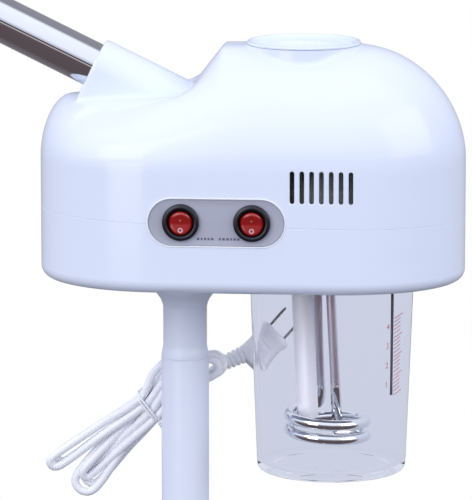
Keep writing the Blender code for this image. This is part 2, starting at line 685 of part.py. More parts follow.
def make_heater(steel, white, plastic, glass, head):
    at = (JAR_X, 0, 0)
    profile = [(0, 18.9 * MM), (55 * MM, 18.9 * MM), (55 * MM, 21.4 * MM), (0, 21.4 * MM)]
    plate = turned("heater_plate", profile, steel, 32, parent=head, location=at)
    holes = bmesh.new()
    for x, y, radius in ((83, 12, 4.2), (91.5, 12, 4.2), (74.6, 3, 8), (114, -14, 11)):
        hole = [(0, 10 * MM), (radius * MM, 10 * MM), (radius * MM, 30 * MM), (0, 30 * MM)]
        add_turned(holes, hole, 12, centre=(x * MM, y * MM, 0))
    boolean(plate, place("plate_holes", holes, None, head))
    rod("heating_element", element_line(), ELEMENT_RADIUS, steel, 2, head)
    top, low = Vector((74.6, 3, 24)) * MM, Vector((78, 4, -90)) * MM
    length = (top - low).length
    tube = [(4.8 * MM, 0), (6.8 * MM, 0), (6.8 * MM, length), (4.8 * MM, length)]
    turned("level_tube", tube, white, 20, True, parent=head, location=low, axis=top - low)

    dome = [(0, 80.6 * MM), (11 * MM, 80.6 * MM), (32.5 * MM, 74 * MM), (41.6 * MM, 61 * MM)]
    dome += [(41.6 * MM, 21.7 * MM), (44 * MM, 21.7 * MM), (44 * MM, 62 * MM), (34 * MM, 76 * MM)]
    dome += [(12 * MM, 83 * MM), (0, 83 * MM)]
    chamber = turned("steam_chamber", dome, plastic, 24, parent=head, location=at)
    lamp = [(0, 21.7 * MM), (8 * MM, 21.7 * MM), (8 * MM, 31 * MM), (6 * MM, 31 * MM)]
    lamp += [(6 * MM, 58 * MM), (3 * MM, 62 * MM), (0, 62 * MM)]
    turned("ozone_lamp", lamp, glass, 16, parent=head, location=(114 * MM, 16 * MM, 0))
    cutout = [(0, 21.7 * MM), (5 * MM, 21.7 * MM), (5 * MM, 27 * MM), (0, 27 * MM)]
    turned("thermal_cutout", cutout, steel, 16, parent=head, location=(JAR_X, 49.5 * MM, 0))
    return chamber


def make_duct(plastic, chamber, head):
    along = Vector((-math.cos(ARM_TILT), 0, math.sin(ARM_TILT)))
    start, bend = Vector((54, 0, 52)) * MM, Vector((20, 0, 98)) * MM
    meet = ARM_POINT - along * 60 * MM
    path = []
    for step in range(6):
        t = step / 5
        path.append(start * (1 - t) ** 2 + bend * 2 * t * (1 - t) + meet * t**2)
    path.append(ARM_POINT - along * 30 * MM)
    pipe("steam_duct", path, 11.2 * MM, 9.2 * MM, plastic, 16, head)
    toward = path[1] - path[0]
    outlet = frame_at("chamber_outlet", path[0], toward, head)
    boolean(chamber, cylinder("outlet_cut", 11.7 * MM, -8 * MM, 30 * MM, parent=outlet))


def make_electrics(dark, plastic, head):
    block("ozone_ballast", (42 * MM, 34 * MM, 24 * MM), (-42 * MM, 0, 37.8 * MM), dark, 2 * MM,
          parent=head)
    block("terminal_block", (34 * MM, 14 * MM, 12 * MM), (8 * MM, 44 * MM, 31.8 * MM), plastic,
          1.5 * MM, parent=head)


def make_panel(grey, black, red, head):
    face = frame_at("panel_face", (PANEL_X, -HEAD_HALF_DEPTH + 0.4 * MM, PANEL_Z), parent=head)
    face.rotation_quaternion = Matrix.Rotation(math.pi / 2, 3, "X").to_quaternion()
    plate = prism("control_panel", stadium(PANEL_LENGTH, PANEL_HEIGHT), -3 * MM, 0, grey, parent=face)
    for side, name in ((-1, "ozone"), (1, "power")):
        x = side * SWITCH_SPACING / 2
        hole = cylinder(f"{name}_switch_hole", 10.2 * MM, -9 * MM, 5 * MM, None, 22, parent=face)
        hole.location = (x, 0, 0)
        boolean(plate, hole)
        body = [(0, -15 * MM), (9.9 * MM, -15 * MM), (9.9 * MM, GAP), (SWITCH_BEZEL, GAP)]
        body += [(SWITCH_BEZEL, 1.4 * MM), (10.6 * MM, 2.4 * MM), (8.5 * MM, 2.4 * MM)]
        body += [(8.25 * MM, 1.8 * MM), (8.25 * MM, -9 * MM), (0, -9 * MM)]
        turned(f"{name}_switch", body, black, 22, parent=face, location=(x, 0, 0))
        pivot = frame_at(f"{name}_pivot", (x, 0, -2.5 * MM), parent=face)
        pivot.rotation_quaternion = Matrix.Rotation(ROCKER_TILT, 3, "X").to_quaternion()
        rocker = [(0, -4 * MM), (4.5 * MM, -4 * MM), (7.1 * MM, 1.5 * MM), (7.4 * MM, 4 * MM)]
        rocker += [(7 * MM, 5.2 * MM), (0, 4.8 * MM)]
        turned(f"{name}_rocker", rocker, red, 20, parent=pivot)


def make_lid(white, head):
    under, top = 148 * MM, 149.7 * MM
    profile = [(0, 139.3 * MM), (30.6 * MM, 139.3 * MM), (30.6 * MM, under), (35.2 * MM, under)]
    profile += [(35.5 * MM, under + 0.5 * MM), (35.2 * MM, top - 0.4 * MM), (34.4 * MM, top)]
    profile += [(33 * MM, top), (28 * MM, 142.8 * MM), (0, 142 * MM)]
    turned("lid", profile, white, 32, parent=head, location=(LID_X, 0, 0))


# --- steam arm -----------------------------------------------------------------------------


def make_arm(chrome, white, arm):
    tube = [(ARM_BORE, -ARM_INSERT), (ARM_RADIUS, -ARM_INSERT), (ARM_RADIUS, ARM_LENGTH)]
    tube += [(ARM_BORE, ARM_LENGTH)]
    turned("arm_tube", tube, chrome, 32, ring=True, parent=arm)
    # In the arm's own frame Z runs out along the tube and -X points down.
    start = ARM_LENGTH + GAP
    path = [Vector((0, 0, ARM_LENGTH - 24 * MM)), Vector((0, 0, start))]
    for step in range(1, 7):
        turn = math.radians(90 * step / 6)
        drop, reach = ELBOW_BEND * (1 - math.cos(turn)), ELBOW_BEND * math.sin(turn)
        path.append(Vector((-drop, 0, start + reach)))
    path.append(path[-1] - Vector((ELBOW_OUTLET, 0, 0)))
    pipe("nozzle_elbow", path, ELBOW_RADIUS, SOCKET_BORE, white, 20, arm)
    return path[-1]


def make_nozzle(white, dark, arm, end):
    mouth = frame_at("nozzle_axis", end, (-1, 0, 0), arm)
    sleeve = ELBOW_RADIUS + GAP
    wall = 2.2 * MM
    start, shoulder, flare = -16 * MM, 3 * MM, 44 * MM
    finish_at = NOZZLE_LENGTH - 16 * MM
    profile = [(sleeve, start), (sleeve + 2.6 * MM, start), (sleeve + 2.6 * MM, shoulder)]
    profile += [(NOZZLE_RADIUS - MM, flare), (NOZZLE_RADIUS, flare + 4 * MM)]
    profile += [(NOZZLE_RADIUS, finish_at), (NOZZLE_RADIUS - 3 * MM, finish_at)]
    profile += [(NOZZLE_RADIUS - 3 * MM, flare + 2 * MM), (NOZZLE_RADIUS - 3 * MM - wall, flare)]
    profile += [(sleeve - 2 * MM, shoulder), (sleeve - 2 * MM, GAP), (sleeve, GAP)]
    turned("nozzle", profile, white, 28, ring=True, parent=mouth)
    low = flare + 2 * MM + GAP
    disc = cylinder("nozzle_grille", 29.4 * MM, low, low + 1.6 * MM, dark, 28, parent=mouth)
    cuts = bmesh.new()
    for ring, count in ((0, 1), (12 * MM, 6), (22 * MM, 8)):
        for step in range(count):
            turn = math.tau * step / count
            centre = (ring * math.cos(turn), ring * math.sin(turn), low)
            hole = [(0, -2 * MM), (3.6 * MM, -2 * MM), (3.6 * MM, 4 * MM), (0, 4 * MM)]
            add_turned(cuts, hole, 6, centre=centre)
    boolean(disc, place("grille_cuts", cuts, None, mouth))


# --- mains cord ----------------------------------------------------------------------------


def hull_outline(circles, grow=0.0):
    """The outline around a few circles, each a centre and a radius in millimetres."""
    points = []
    for (x, z), radius in circles:
        points += arc((x * MM, z * MM), radius * MM + grow, 0, 345, 23)
    points = sorted(points)
    hull = []
    for run in (points, points[::-1]):
        chain = []
        for point in run:
            while len(chain) > 1:
                a, b = chain[-2], chain[-1]
                if (b[0] - a[0]) * (point[1] - a[1]) > (b[1] - a[1]) * (point[0] - a[0]):
                    break
                chain.pop()
            chain.append(point)
        hull += chain[:-1]
    return hull


def make_hank(rubber, head):
    """The folded turns of the cord as one solid, with a waist where the tie holds them."""
    face = frame_at("hank_face", (0, 0, 0), parent=head)
    face.rotation_quaternion = Matrix.Rotation(math.pi / 2, 3, "X").to_quaternion()
    upper, loops = hull_outline(HANK_TOP), hull_outline(HANK_LOOPS)
    hank = prism("cord_hank", upper, -HANK_BACK, -HANK_FRONT, rubber, parent=face)
    boolean(hank, prism("hank_loops", loops, -HANK_BACK, -HANK_FRONT, parent=face), "UNION")
    tie_axis = frame_at("tie_axis", TIE_AT, TIE_WAY, head)
    tie = cylinder("cord_tie", TIE_RADIUS, -3 * MM, 3 * MM, rubber, 20, parent=tie_axis)
    for circles in (HANK_TOP, HANK_LOOPS):
        outline = hull_outline(circles, GAP)
        room = prism("tie_room", outline, -HANK_BACK - GAP, -HANK_FRONT + GAP, parent=face)
        boolean(tie, room)


def make_cord(rubber, metal, head):
    make_hank(rubber, head)
    gland = [(0, -GLAND_LENGTH), (3.4 * MM, -GLAND_LENGTH), (5.6 * MM, -5 * MM), (7 * MM, -4 * MM)]
    gland += [(7 * MM, -GAP), (4.5 * MM, -GAP), (4.5 * MM, 2.8 * MM), (6.5 * MM, 2.8 * MM)]
    gland += [(6.5 * MM, 8 * MM), (0, 8 * MM)]
    turned("cord_gland", gland, rubber, 14, parent=head, location=GLAND_AT)
    tip = GLAND_AT - Vector((0, 0, GLAND_LENGTH + GAP))
    lead = [tip, Vector((tip.x, tip.y, -38 * MM)), Vector((tip.x, tip.y, -49.4 * MM))]
    rod("cord_lead", smooth_route(lead, 6 * MM), CORD_RADIUS, rubber, 2, head)
    tail = [Vector((-12, 42.4, -84)), Vector((-12, 50, -84.4)), Vector((-6, 54, -87))]
    tail += [Vector((3, 53.6, -82.5)), Vector((11.2, 52.4, -72))]
    tail = [point * MM for point in tail]
    tail += [BOOT_AT - BOOT_WAY * 0.5 * MM - BOOT_WAY * GAP]
    rod("cord_tail", smooth_route(tail, 7 * MM), CORD_RADIUS, rubber, 2, head)
    make_plug(rubber, metal, head)


def make_plug(rubber, metal, head):
    """A moulded plug with two flat blades, and a strain relief that enters its back at an angle."""
    thin = PLUG_WAY.cross(PLUG_SPREAD).normalized()
    spread = thin.cross(PLUG_WAY).normalized()
    face = frame_at("plug_face", PLUG_AT, parent=head)
    columns = Matrix((spread, thin, PLUG_WAY.normalized())).transposed()
    face.rotation_quaternion = columns.to_quaternion()
    outline = stadium(PLUG_WIDTH, PLUG_DEPTH, 5)
    plug = prism("power_plug", outline, -PLUG_LENGTH, 0, rubber, parent=face)
    boot_axis = frame_at("boot_axis", BOOT_AT, BOOT_WAY, head)
    boot = [(0, 0), (4.6 * MM, 0), (5.7 * MM, BOOT_LENGTH - 2 * MM), (5.7 * MM, BOOT_LENGTH)]
    boot += [(7 * MM, BOOT_LENGTH + 5 * MM), (5 * MM, BOOT_LENGTH + 9 * MM)]
    boot += [(0, BOOT_LENGTH + 9 * MM)]
    boolean(plug, turned("boot", boot, None, 14, parent=boot_axis), "UNION")
    for side in (-1, 1):
        size = (1.5 * MM, 6.3 * MM, BLADE_LENGTH + 4 * MM)
        centre = (side * BLADE_SPACING / 2, 0, BLADE_LENGTH / 2 - 2 * MM)
        boolean(plug, block(f"blade_{side}", size, centre, metal, parent=face), "UNION")


# --- the whole object ----------------------------------------------------------------------


def build():
    clear_scene()
    white = finish("white_plastic", (0.80, 0.87, 0.98), 0.25)
    pole_white = finish("pole_white", (0.78, 0.84, 0.95), 0.35)
    grey = finish("panel_grey", (0.39, 0.42, 0.53), 0.4)
    black = finish("black_plastic", (0.02, 0.02, 0.025), 0.4)
    dark = finish("dark_nylon", (0.05, 0.05, 0.055), 0.5)
    tread = finish("wheel_rubber", (0.09, 0.09, 0.1), 0.6)
    red = finish("rocker_red", (0.7, 0.02, 0.01), 0.2)
    chrome = finish("chrome", (0.85, 0.86, 0.88), 0.08, 1.0)
    steel = finish("stainless", (0.6, 0.6, 0.62), 0.25, 1.0)
    glass = finish("clear_glass", (0.9, 0.92, 0.96), 0.03, 0.0, 0.3)
    rubber = finish("cord_pvc", (0.78, 0.82, 0.9), 0.4)
    seal = finish("silicone", (0.75, 0.75, 0.72), 0.6)

    make_star_base(pole_white)
    make_hub_screw(steel)
    make_casters(pole_white, tread, steel)
    make_pole(pole_white, dark, steel)

    head = frame_at("head_origin", (0, 0, HEAD_Z))
    along = Vector((-math.cos(ARM_TILT), 0, math.sin(ARM_TILT)))
    arm = frame_at("arm_axis", ARM_POINT, along, head)
    make_upper_shell(white, head, arm)
    make_lower_shell(white, head)
    make_chassis(steel, head)
    make_neck(white, head)
    make_jar(glass, seal, white, head)
    chamber = make_heater(steel, white, seal, glass, head)
    make_duct(seal, chamber, head)
    make_electrics(black, seal, head)
    make_panel(grey, black, red, head)
    make_lid(white, head)
    end = make_arm(chrome, white, arm)
    make_nozzle(white, dark, arm, end)
    make_cord(rubber, steel, head)


build()
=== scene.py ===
"""The looks of a floor-standing facial steamer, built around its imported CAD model.

Lengths marked MM are worked out from the part's driving dimensions. Head pieces are placed from
the underside of the head, as in the CAD model, by the matrix HEAD."""

from math import atan, copysign, cos, hypot, pi, radians, sin, tan, tau

import bmesh
import bpy
from mathutils import Matrix, Vector
from mathutils.bvhtree import BVHTree


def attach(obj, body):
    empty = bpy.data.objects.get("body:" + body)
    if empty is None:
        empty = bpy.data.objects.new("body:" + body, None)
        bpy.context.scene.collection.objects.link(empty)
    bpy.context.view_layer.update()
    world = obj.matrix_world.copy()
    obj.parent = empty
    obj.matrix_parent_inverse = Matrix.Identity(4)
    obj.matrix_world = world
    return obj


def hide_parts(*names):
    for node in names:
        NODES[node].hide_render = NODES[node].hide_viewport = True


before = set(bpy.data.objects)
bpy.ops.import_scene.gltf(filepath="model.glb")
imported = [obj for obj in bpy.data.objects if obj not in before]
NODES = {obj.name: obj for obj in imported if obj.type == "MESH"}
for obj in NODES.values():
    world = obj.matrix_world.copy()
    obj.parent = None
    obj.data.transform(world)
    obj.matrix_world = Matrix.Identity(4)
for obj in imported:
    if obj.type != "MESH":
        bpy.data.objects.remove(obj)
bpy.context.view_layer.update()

MM = 0.001
GAP = 0.3 * MM
X_AXIS, Y_AXIS, Z_AXIS = Vector((1, 0, 0)), Vector((0, 1, 0)), Vector((0, 0, 1))

# Driving dimensions, as in the CAD model
FLOOR_Z = -75 * MM
LEG_COUNT, LEG_REACH = 5, 235 * MM
OUTER_POLE_RADIUS = 19 * MM
HEAD_Z = 875 * MM
NECK_LOW = -52 * MM  # where the neck meets the pole, from the underside of the head
HEAD_LEFT, HEAD_RIGHT, HEAD_HALF_DEPTH = -90.5 * MM, 176 * MM, 68 * MM
END_LENGTH = 80 * MM
WALL = 2.5 * MM
SEAM_Z, ROLL_Z, ROLL_POWER = 43 * MM, 77 * MM, 1.9
SEAM_MIDDLE, SEAM_LEAN = 44 * MM, 0.018  # the seam rises a little towards the arm
LEFT_ROLL, RIGHT_ROLL, RIDGE_HALF_DEPTH = 20 * MM, 67 * MM, 9 * MM
DECK_Z, DOME_Z = 115.2 * MM, 147.3 * MM
RAMP_START, RAMP_LENGTH = 0.0, 25 * MM
BOTTOM_ROUND = 7.5 * MM
ARM_TILT = radians(26)
ARM_POINT = Vector((-60, 0, 134.3)) * MM
ARM_RADIUS, ARM_BORE, ARM_INSERT, ARM_LENGTH = 14 * MM, 12.8 * MM, 45 * MM, 340 * MM
SOCKET_RADIUS, SOCKET_BORE, SOCKET_MOUTH = 18 * MM, 14.4 * MM, -3.5 * MM
ELBOW_BEND, ELBOW_RADIUS, ELBOW_OUTLET = 24 * MM, 17.4 * MM, 30 * MM
NOZZLE_RADIUS = 33 * MM
LID_X, JAR_X, COIL_X = 74.6 * MM, 92.6 * MM, 90 * MM
JAR_RADIUS, JAR_FOOT_RADIUS, JAR_TOP, JAR_BOTTOM = 52 * MM, 47 * MM, 16 * MM, -122 * MM
COIL_RADIUS, COIL_TOP, COIL_PITCH, ELEMENT_RADIUS = 24.2 * MM, -85.5 * MM, 9.1 * MM, 3.4 * MM
PANEL_X, PANEL_Z, PANEL_LENGTH, PANEL_HEIGHT = 25.9 * MM, 45.2 * MM, 84 * MM, 29 * MM
SWITCH_SPACING, ROCKER_TILT, KEY_SLOPE = 43.8 * MM, radians(8), 0.26
VENT_COUNT, VENT_PITCH, VENT_WIDTH, VENT_HEIGHT = 7, 6 * MM, 2.9 * MM, 20.2 * MM
VENT_X, VENT_Z = 90.4 * MM, 67.5 * MM
CORD_RADIUS = 2.6 * MM

HEAD = Matrix.Translation((0, 0, HEAD_Z))
ARM_WAY = Vector((-cos(ARM_TILT), 0, sin(ARM_TILT)))


def shifted(at, x=0.0, y=0.0, z=0.0):
    return at @ Matrix.Translation((x, y, z))


def facing(at, way, across=X_AXIS):
    """A matrix whose Z runs along way, and whose X is as near across as it can be."""
    z = Vector(way).normalized()
    y = z.cross(across).normalized()
    columns = Matrix((y.cross(z), y, z)).transposed().to_4x4()
    return Matrix.Translation(at) @ columns


ARM = HEAD @ facing(ARM_POINT, ARM_WAY, Vector((sin(ARM_TILT), 0, cos(ARM_TILT))))
JAR = shifted(HEAD, JAR_X)
FRONT = HEAD @ facing((0, -HEAD_HALF_DEPTH, 0), (0, -1, 0))  # X right, Y up, Z towards you


# --- materials ---


def shade_ramp(tree, factor, stops):
    """A colour ramp with the given stops of (position, colour)."""
    shade = tree.nodes.new("ShaderNodeValToRGB")
    ramp = shade.color_ramp
    while len(ramp.elements) < len(stops):
        ramp.elements.new(0.5)
    for element, (position, colour) in zip(ramp.elements, stops):
        element.position = position
        element.color = (*colour, 1.0)
    tree.links.new(factor, shade.inputs["Fac"])
    return shade.outputs["Color"]


def add_node(tree, kind, **values):
    """A shader node with some of its sockets set."""
    node = tree.nodes.new("ShaderNode" + kind)
    for socket, value in values.items():
        node.inputs[socket.replace("_", " ")].default_value = value
    return node


def material(name, rgb, roughness, metallic=0.0, grain=0.0, scale=400.0, tone=0.0, **sockets):
    """A Principled material. grain is the depth of its fine bumps in millimetres, scale is how
    many of them there are per metre, and tone is how much its colour wanders over the surface."""
    mat = bpy.data.materials.new(name)
    mat.use_nodes = True
    tree = mat.node_tree
    join = tree.links.new
    shader = tree.nodes["Principled BSDF"]
    sockets.update(Base_Color=(*rgb, 1.0), Roughness=roughness, Metallic=metallic)
    for socket, value in sockets.items():
        shader.inputs[socket.replace("_", " ")].default_value = value
    place = add_node(tree, "TexCoord").outputs["Object"]
    if grain:
        fine = add_node(tree, "TexNoise", Scale=scale, Detail=3.0)
        bump = add_node(tree, "Bump", Distance=grain * MM, Strength=1.0)
        join(place, fine.inputs["Vector"])
        join(fine.outputs["Fac"], bump.inputs["Height"])
        join(bump.outputs["Normal"], shader.inputs["Normal"])
    broad = add_node(tree, "TexNoise", Scale=22.0, Detail=4.0)
    join(place, broad.inputs["Vector"])
    if tone:
        dull, fresh = [c * (1 - tone) for c in rgb], [min(1.0, c * (1 + tone)) for c in rgb]
        wander = shade_ramp(tree, broad.outputs["Fac"], ((0.3, dull), (0.7, fresh)))
        join(wander, shader.inputs["Base Color"])
    spread = add_node(tree, "MapRange", To_Min=roughness * 0.8, To_Max=min(1.0, roughness * 1.2))
    join(broad.outputs["Fac"], spread.inputs["Value"])
    join(spread.outputs["Result"], shader.inputs["Roughness"])
    return mat


SHELL = material("moulded_white", (0.775, 0.845, 0.98), 0.16, grain=0.006, scale=700, tone=0.006)
PAINT = material("white_paint", (0.755, 0.815, 0.94), 0.32, grain=0.008, scale=1400, tone=0.002)
CASTER = material("caster_nylon", (0.66, 0.69, 0.75), 0.42, grain=0.02, scale=1500, tone=0.02)
TREAD = material("grey_tread", (0.09, 0.095, 0.11), 0.62, grain=0.05, scale=900, tone=0.08)
DARK = material("dark_nylon", (0.018, 0.018, 0.02), 0.45, grain=0.05, scale=1800, tone=0.1)
STEEL = material("plated_steel", (0.55, 0.55, 0.56), 0.3, 1.0, grain=0.01, scale=900, tone=0.05)
CHROME = material("chrome", (0.80, 0.82, 0.86), 0.05, 1.0, tone=0.01)
LEG_STEEL = material("leg_steel", (0.72, 0.70, 0.78), 0.3, 1.0, tone=0.02)
PANEL = material("panel_grey", (0.42, 0.44, 0.53), 0.36, grain=0.01, scale=1600, tone=0.02)
# Whiter than the shell: a painted highlight for the light that the panel pocket's edge catches
RIM_HIGHLIGHT = material("panel_rim_painted_highlight", (0.90, 0.94, 1.0), 0.3, grain=0.01, scale=1600, tone=0.01)
BLACK = material("switch_black", (0.008, 0.008, 0.016), 0.3, grain=0.01, scale=1200, tone=0.1)
RED = material("red_lens", (0.34, 0.006, 0.006), 0.2, tone=0.03, IOR=1.75)
MARK = material("white_print", (0.62, 0.40, 0.42), 0.4, tone=0.02)
# The I mark's print: a dimmer, more orange colour than the O mark's
DIM_MARK = material("dim_orange_print", (0.50, 0.16, 0.10), 0.4, tone=0.02)
INK = material("dark_print", (0.06, 0.06, 0.09), 0.5, tone=0.05)
RED_INK = material("red_print", (0.55, 0.09, 0.12), 0.5, tone=0.05)
GREY_INK = material("grey_print", (0.12, 0.13, 0.2), 0.5, tone=0.05)
GLASS = material("jar_glass", (0.985, 0.985, 1.0), 0.02, IOR=1.04, Transmission_Weight=1.0)
QUARTZ = material("lamp_glass", (0.9, 0.92, 0.96), 0.03, IOR=1.46, Transmission_Weight=1.0)
NATURAL = material("heat_proof", (0.62, 0.61, 0.56), 0.5, grain=0.02, scale=900, tone=0.03)
TUBE = material("feed_tube_white", (0.66, 0.66, 0.70), 0.35, grain=0.01, scale=900, tone=0.01)
# Near black: painted shade for the shell's inner faces, which lie in shade behind the vents
INNER_SHADE = material("inner_wall_painted_shade", (0.012, 0.012, 0.016), 0.7, grain=0.02, scale=900, tone=0.05)
SEAL = material("silicone_seal", (0.72, 0.72, 0.68), 0.55, grain=0.02, scale=900, tone=0.02)
CORD = material("cord_sheath", (0.94, 0.96, 1.0), 0.36, grain=0.015, scale=1300, tone=0.015)
BLADE = material("nickel_blade", (0.8, 0.8, 0.82), 0.25, 1.0, grain=0.004, scale=900, tone=0.05)

NODE_FINISH = {
    "hub_screw": STEEL, "chassis_plate": STEEL, "heater_plate": STEEL, "thermal_cutout": STEEL,
    "pole_foot": DARK, "collar_bush": DARK, "ozone_ballast": DARK, "ozone_lamp": QUARTZ,
    "steam_chamber": NATURAL, "steam_duct": NATURAL, "terminal_block": NATURAL,
    "jar_gasket": SEAL,
}


def finish_nodes():
    """Gives the CAD nodes that stay in sight, or inside, their own materials."""
    for number in range(1, 5):
        NODE_FINISH[f"shell_screw_{number}"] = STEEL
    for node, mat in NODE_FINISH.items():
        slots = NODES[node].data.materials
        slots.clear()
        slots.append(mat)


# --- building tools ---


def add_object(name, data):
    obj = bpy.data.objects.new(name, data)
    bpy.context.collection.objects.link(obj)
    return obj


def bare(name, bm, at=Matrix()):
    """An object made from a bmesh. On its own it is a tool that shapes another."""
    bmesh.ops.transform(bm, matrix=at, verts=bm.verts)
    bmesh.ops.recalc_face_normals(bm, faces=bm.faces)
    mesh = bpy.data.meshes.new(name)
    bm.to_mesh(mesh)
    bm.free()
    return add_object(name, mesh)


def place(name, bm, mats, body, slot, nodes=(), at=HEAD, sharp=35):
    """Turns a bmesh into a piece that rides on a body and stands for CAD nodes."""
    return dress(bare(name, bm, at), mats, body, nodes, sharp)


def dress(obj, mats, body, nodes=(), sharp=35):
    """Gives an object its materials and body. Its faces keep their material numbers."""
    mesh = obj.data
    indices = [face.material_index for face in mesh.polygons]
    mesh.materials.clear()
    for mat in mats if isinstance(mats, (list, tuple)) else [mats]:
        mesh.materials.append(mat)
    mesh.polygons.foreach_set("material_index", indices)
    mesh.shade_smooth()
    mesh.set_sharp_from_angle(angle=radians(sharp))
    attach(obj, body)
    if nodes:
        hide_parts(*([nodes] if isinstance(nodes, str) else nodes))
    return obj


def mm(points):
    """Points given in millimetres, in the scene's units."""
    return [tuple(value * MM for value in point) for point in points]


def rod(radius, low, high):
    """The profile of a plain cylinder, given in millimetres."""
    return mm([(0, low), (radius, low), (radius, high), (0, high)])


def shares(count):
    """Equal steps from 0 to 1."""
    return [step / count for step in range(count + 1)]


def rounded(corners, steps=4):
    """A line whose corners, given as (a, b, radius), are rounded off. (a, b) stays as it is."""
    line = []
    for here, corner in enumerate(corners):
        point = Vector(corner[:2])
        if len(corner) == 2:
            line.append(point)
            continue
        sides = []
        for other in (corners[here - 1], corners[(here + 1) % len(corners)]):
            sides.append(Vector(other[:2]) - point)
        angle = sides[0].angle(sides[1])
        reach = min(corner[2] / tan(angle / 2), 0.48 * min(side.length for side in sides))
        start = point + sides[0].normalized() * reach
        end = point + sides[1].normalized() * reach
        for t in shares(steps):
            line.append(start * (1 - t) ** 2 + point * 2 * t * (1 - t) + end * t**2)
    return line


def turned(corners, steps=3):
    """A profile given in millimetres with its corners rounded off, in the scene's units."""
    return [point * MM for point in rounded(corners, steps)]


def circle(radius, count):
    """Points evenly round a circle."""
    turns = [tau * step / count for step in range(count)]
    return [(radius * cos(turn), radius * sin(turn)) for turn in turns]


def squarish(turn, half_x, half_y, power):
    """A point on a rounded box's outline."""
    c, s = cos(turn), sin(turn)
    return abs(c) ** power * copysign(half_x, c), abs(s) ** power * copysign(half_y, s)


def arc(centre, radius, start, end, steps):
    """Points on a circle, with the angles in degrees."""
    turns = [radians(start + (end - start) * way) for way in shares(steps)]
    return [(centre[0] + radius * cos(turn), centre[1] + radius * sin(turn)) for turn in turns]


def stadium(length, height, steps=12):
    reach, radius = (length - height) / 2, height / 2
    return arc((reach, 0), radius, -90, 90, steps) + arc((-reach, 0), radius, 90, 270, steps)


def add_skin(bm, rings, closed=False):
    """Joins rings of points, leaving the ends open. Returns the rows of vertices and the faces."""
    rows = [[bm.verts.new(point) for point in ring] for ring in rings]
    count = len(rows[0])
    faces = []
    for low, high in zip(rows, rows[1:] + rows[:1] if closed else rows[1:]):
        for a in range(count):
            b = (a + 1) % count
            faces.append(bm.faces.new((low[a], low[b], high[b], high[a])))
    return rows, faces


def add_rings(bm, rings, closed=False, mat=0):
    """Joins rings of points into a skin, with flat ends unless the last ring meets the first."""
    rows, faces = add_skin(bm, rings, closed)
    if not closed:
        faces += [bm.faces.new(rows[0][::-1]), bm.faces.new(rows[-1])]
    for face in faces:
        face.material_index = mat


def add_lathe(bm, profile, segments=96, ring=False, at=Matrix(), mat=0):
    """A solid of revolution about Z. A profile that isn't a ring starts and ends at the axis."""
    rings = []
    for radius, z in profile:
        around = circle(max(radius, 0.02 * MM), segments)
        rings.append([at @ Vector((x, y, z)) for x, y in around])
    add_rings(bm, rings, ring, mat)


def lathe(name, corners, mats, body, slot, nodes=(), segments=96, ring=False, at=HEAD, sharp=35,
          steps=3):
    """A turned piece, from a profile given in millimetres."""
    bm = bmesh.new()
    add_lathe(bm, turned(corners, steps), segments, ring)
    return place(name, bm, mats, body, slot, nodes, at, sharp)


def add_prism(bm, outline, levels, at=Matrix(), mat=0):
    """Stacks copies of an outline, each shrunk by its inset, at the given (inset, height)s."""
    centre = sum((Vector(point) for point in outline), Vector((0, 0))) / len(outline)
    count = len(outline)
    normals = []
    for here in range(count):
        along = Vector(outline[(here + 1) % count]) - Vector(outline[here - 1])
        normal = Vector((along.y, -along.x)).normalized()
        if normal.dot(Vector(outline[here]) - centre) < 0:
            normal = -normal
        normals.append(normal)
    rings = []
    for inset, height in levels:
        ring = []
        for point, normal in zip(outline, normals):
            moved = Vector(point) - normal * inset
            ring.append(at @ Vector((moved.x, moved.y, height)))
        rings.append(ring)
    add_rings(bm, rings, mat=mat)


def edged(low, high, radius, steps=3):
    """Levels for a prism with rounded edges between two heights, given in millimetres."""
    turns = [radians(90 * way) for way in shares(steps)]
    levels = [(radius * (1 - sin(turn)), low + radius * (1 - cos(turn))) for turn in turns]
    return mm(levels + [(inset, high + low - height) for inset, height in reversed(levels)])


def stretched(points):
    """The points with one more before the first and after the last."""
    return [points[0] * 2 - points[1]] + list(points) + [points[-1] * 2 - points[-2]]


def smooth_line(points, spacing):
    """Points about this far apart on a smooth curve through the given ones."""
    ends = stretched(points)
    line = [points[0]]
    for before, a, b, after in zip(ends, ends[1:], ends[2:], ends[3:]):
        steps = max(1, round((b - a).length / spacing))
        slope_a, slope_b = (b - before) / 2, (after - a) / 2
        for t in shares(steps)[1:]:
            start = a * (2 * t**3 - 3 * t**2 + 1) + slope_a * (t**3 - 2 * t**2 + t)
            line.append(start + b * (3 * t**2 - 2 * t**3) + slope_b * (t**3 - t**2))
    return line


def sweep_rings(line, radii, sides=24):
    """Rings around a line, turned from one to the next without twist."""
    ahead = (line[1] - line[0]).normalized()
    side = ahead.orthogonal().normalized()
    rings = []
    for here, point in enumerate(line):
        last = line[max(here - 1, 0)]
        after = (line[min(here + 1, len(line) - 1)] - last).normalized()
        side = (side - after * side.dot(after)).normalized()
        up = after.cross(side)
        radius = radii[here] if isinstance(radii, list) else radii
        rings.append([point + side * x + up * y for x, y in circle(radius, sides)])
    return rings


def final_mesh(obj):
    graph = bpy.context.evaluated_depsgraph_get()
    return bpy.data.meshes.new_from_object(obj.evaluated_get(graph))


def settle(obj):
    """Turns the object's modifiers into its mesh."""
    mesh = final_mesh(obj)
    obj.modifiers.clear()
    obj.data = mesh
    return obj


def combine(obj, tools, operation="DIFFERENCE"):
    """Cuts closed tools out of obj, or joins them to it, and removes them."""
    for tool in tools:
        step = obj.modifiers.new(operation.lower(), "BOOLEAN")
        step.operation, step.solver, step.object = operation, "MANIFOLD", tool
    settle(obj)
    for tool in tools:
        bpy.data.objects.remove(tool, do_unlink=True)
    return obj


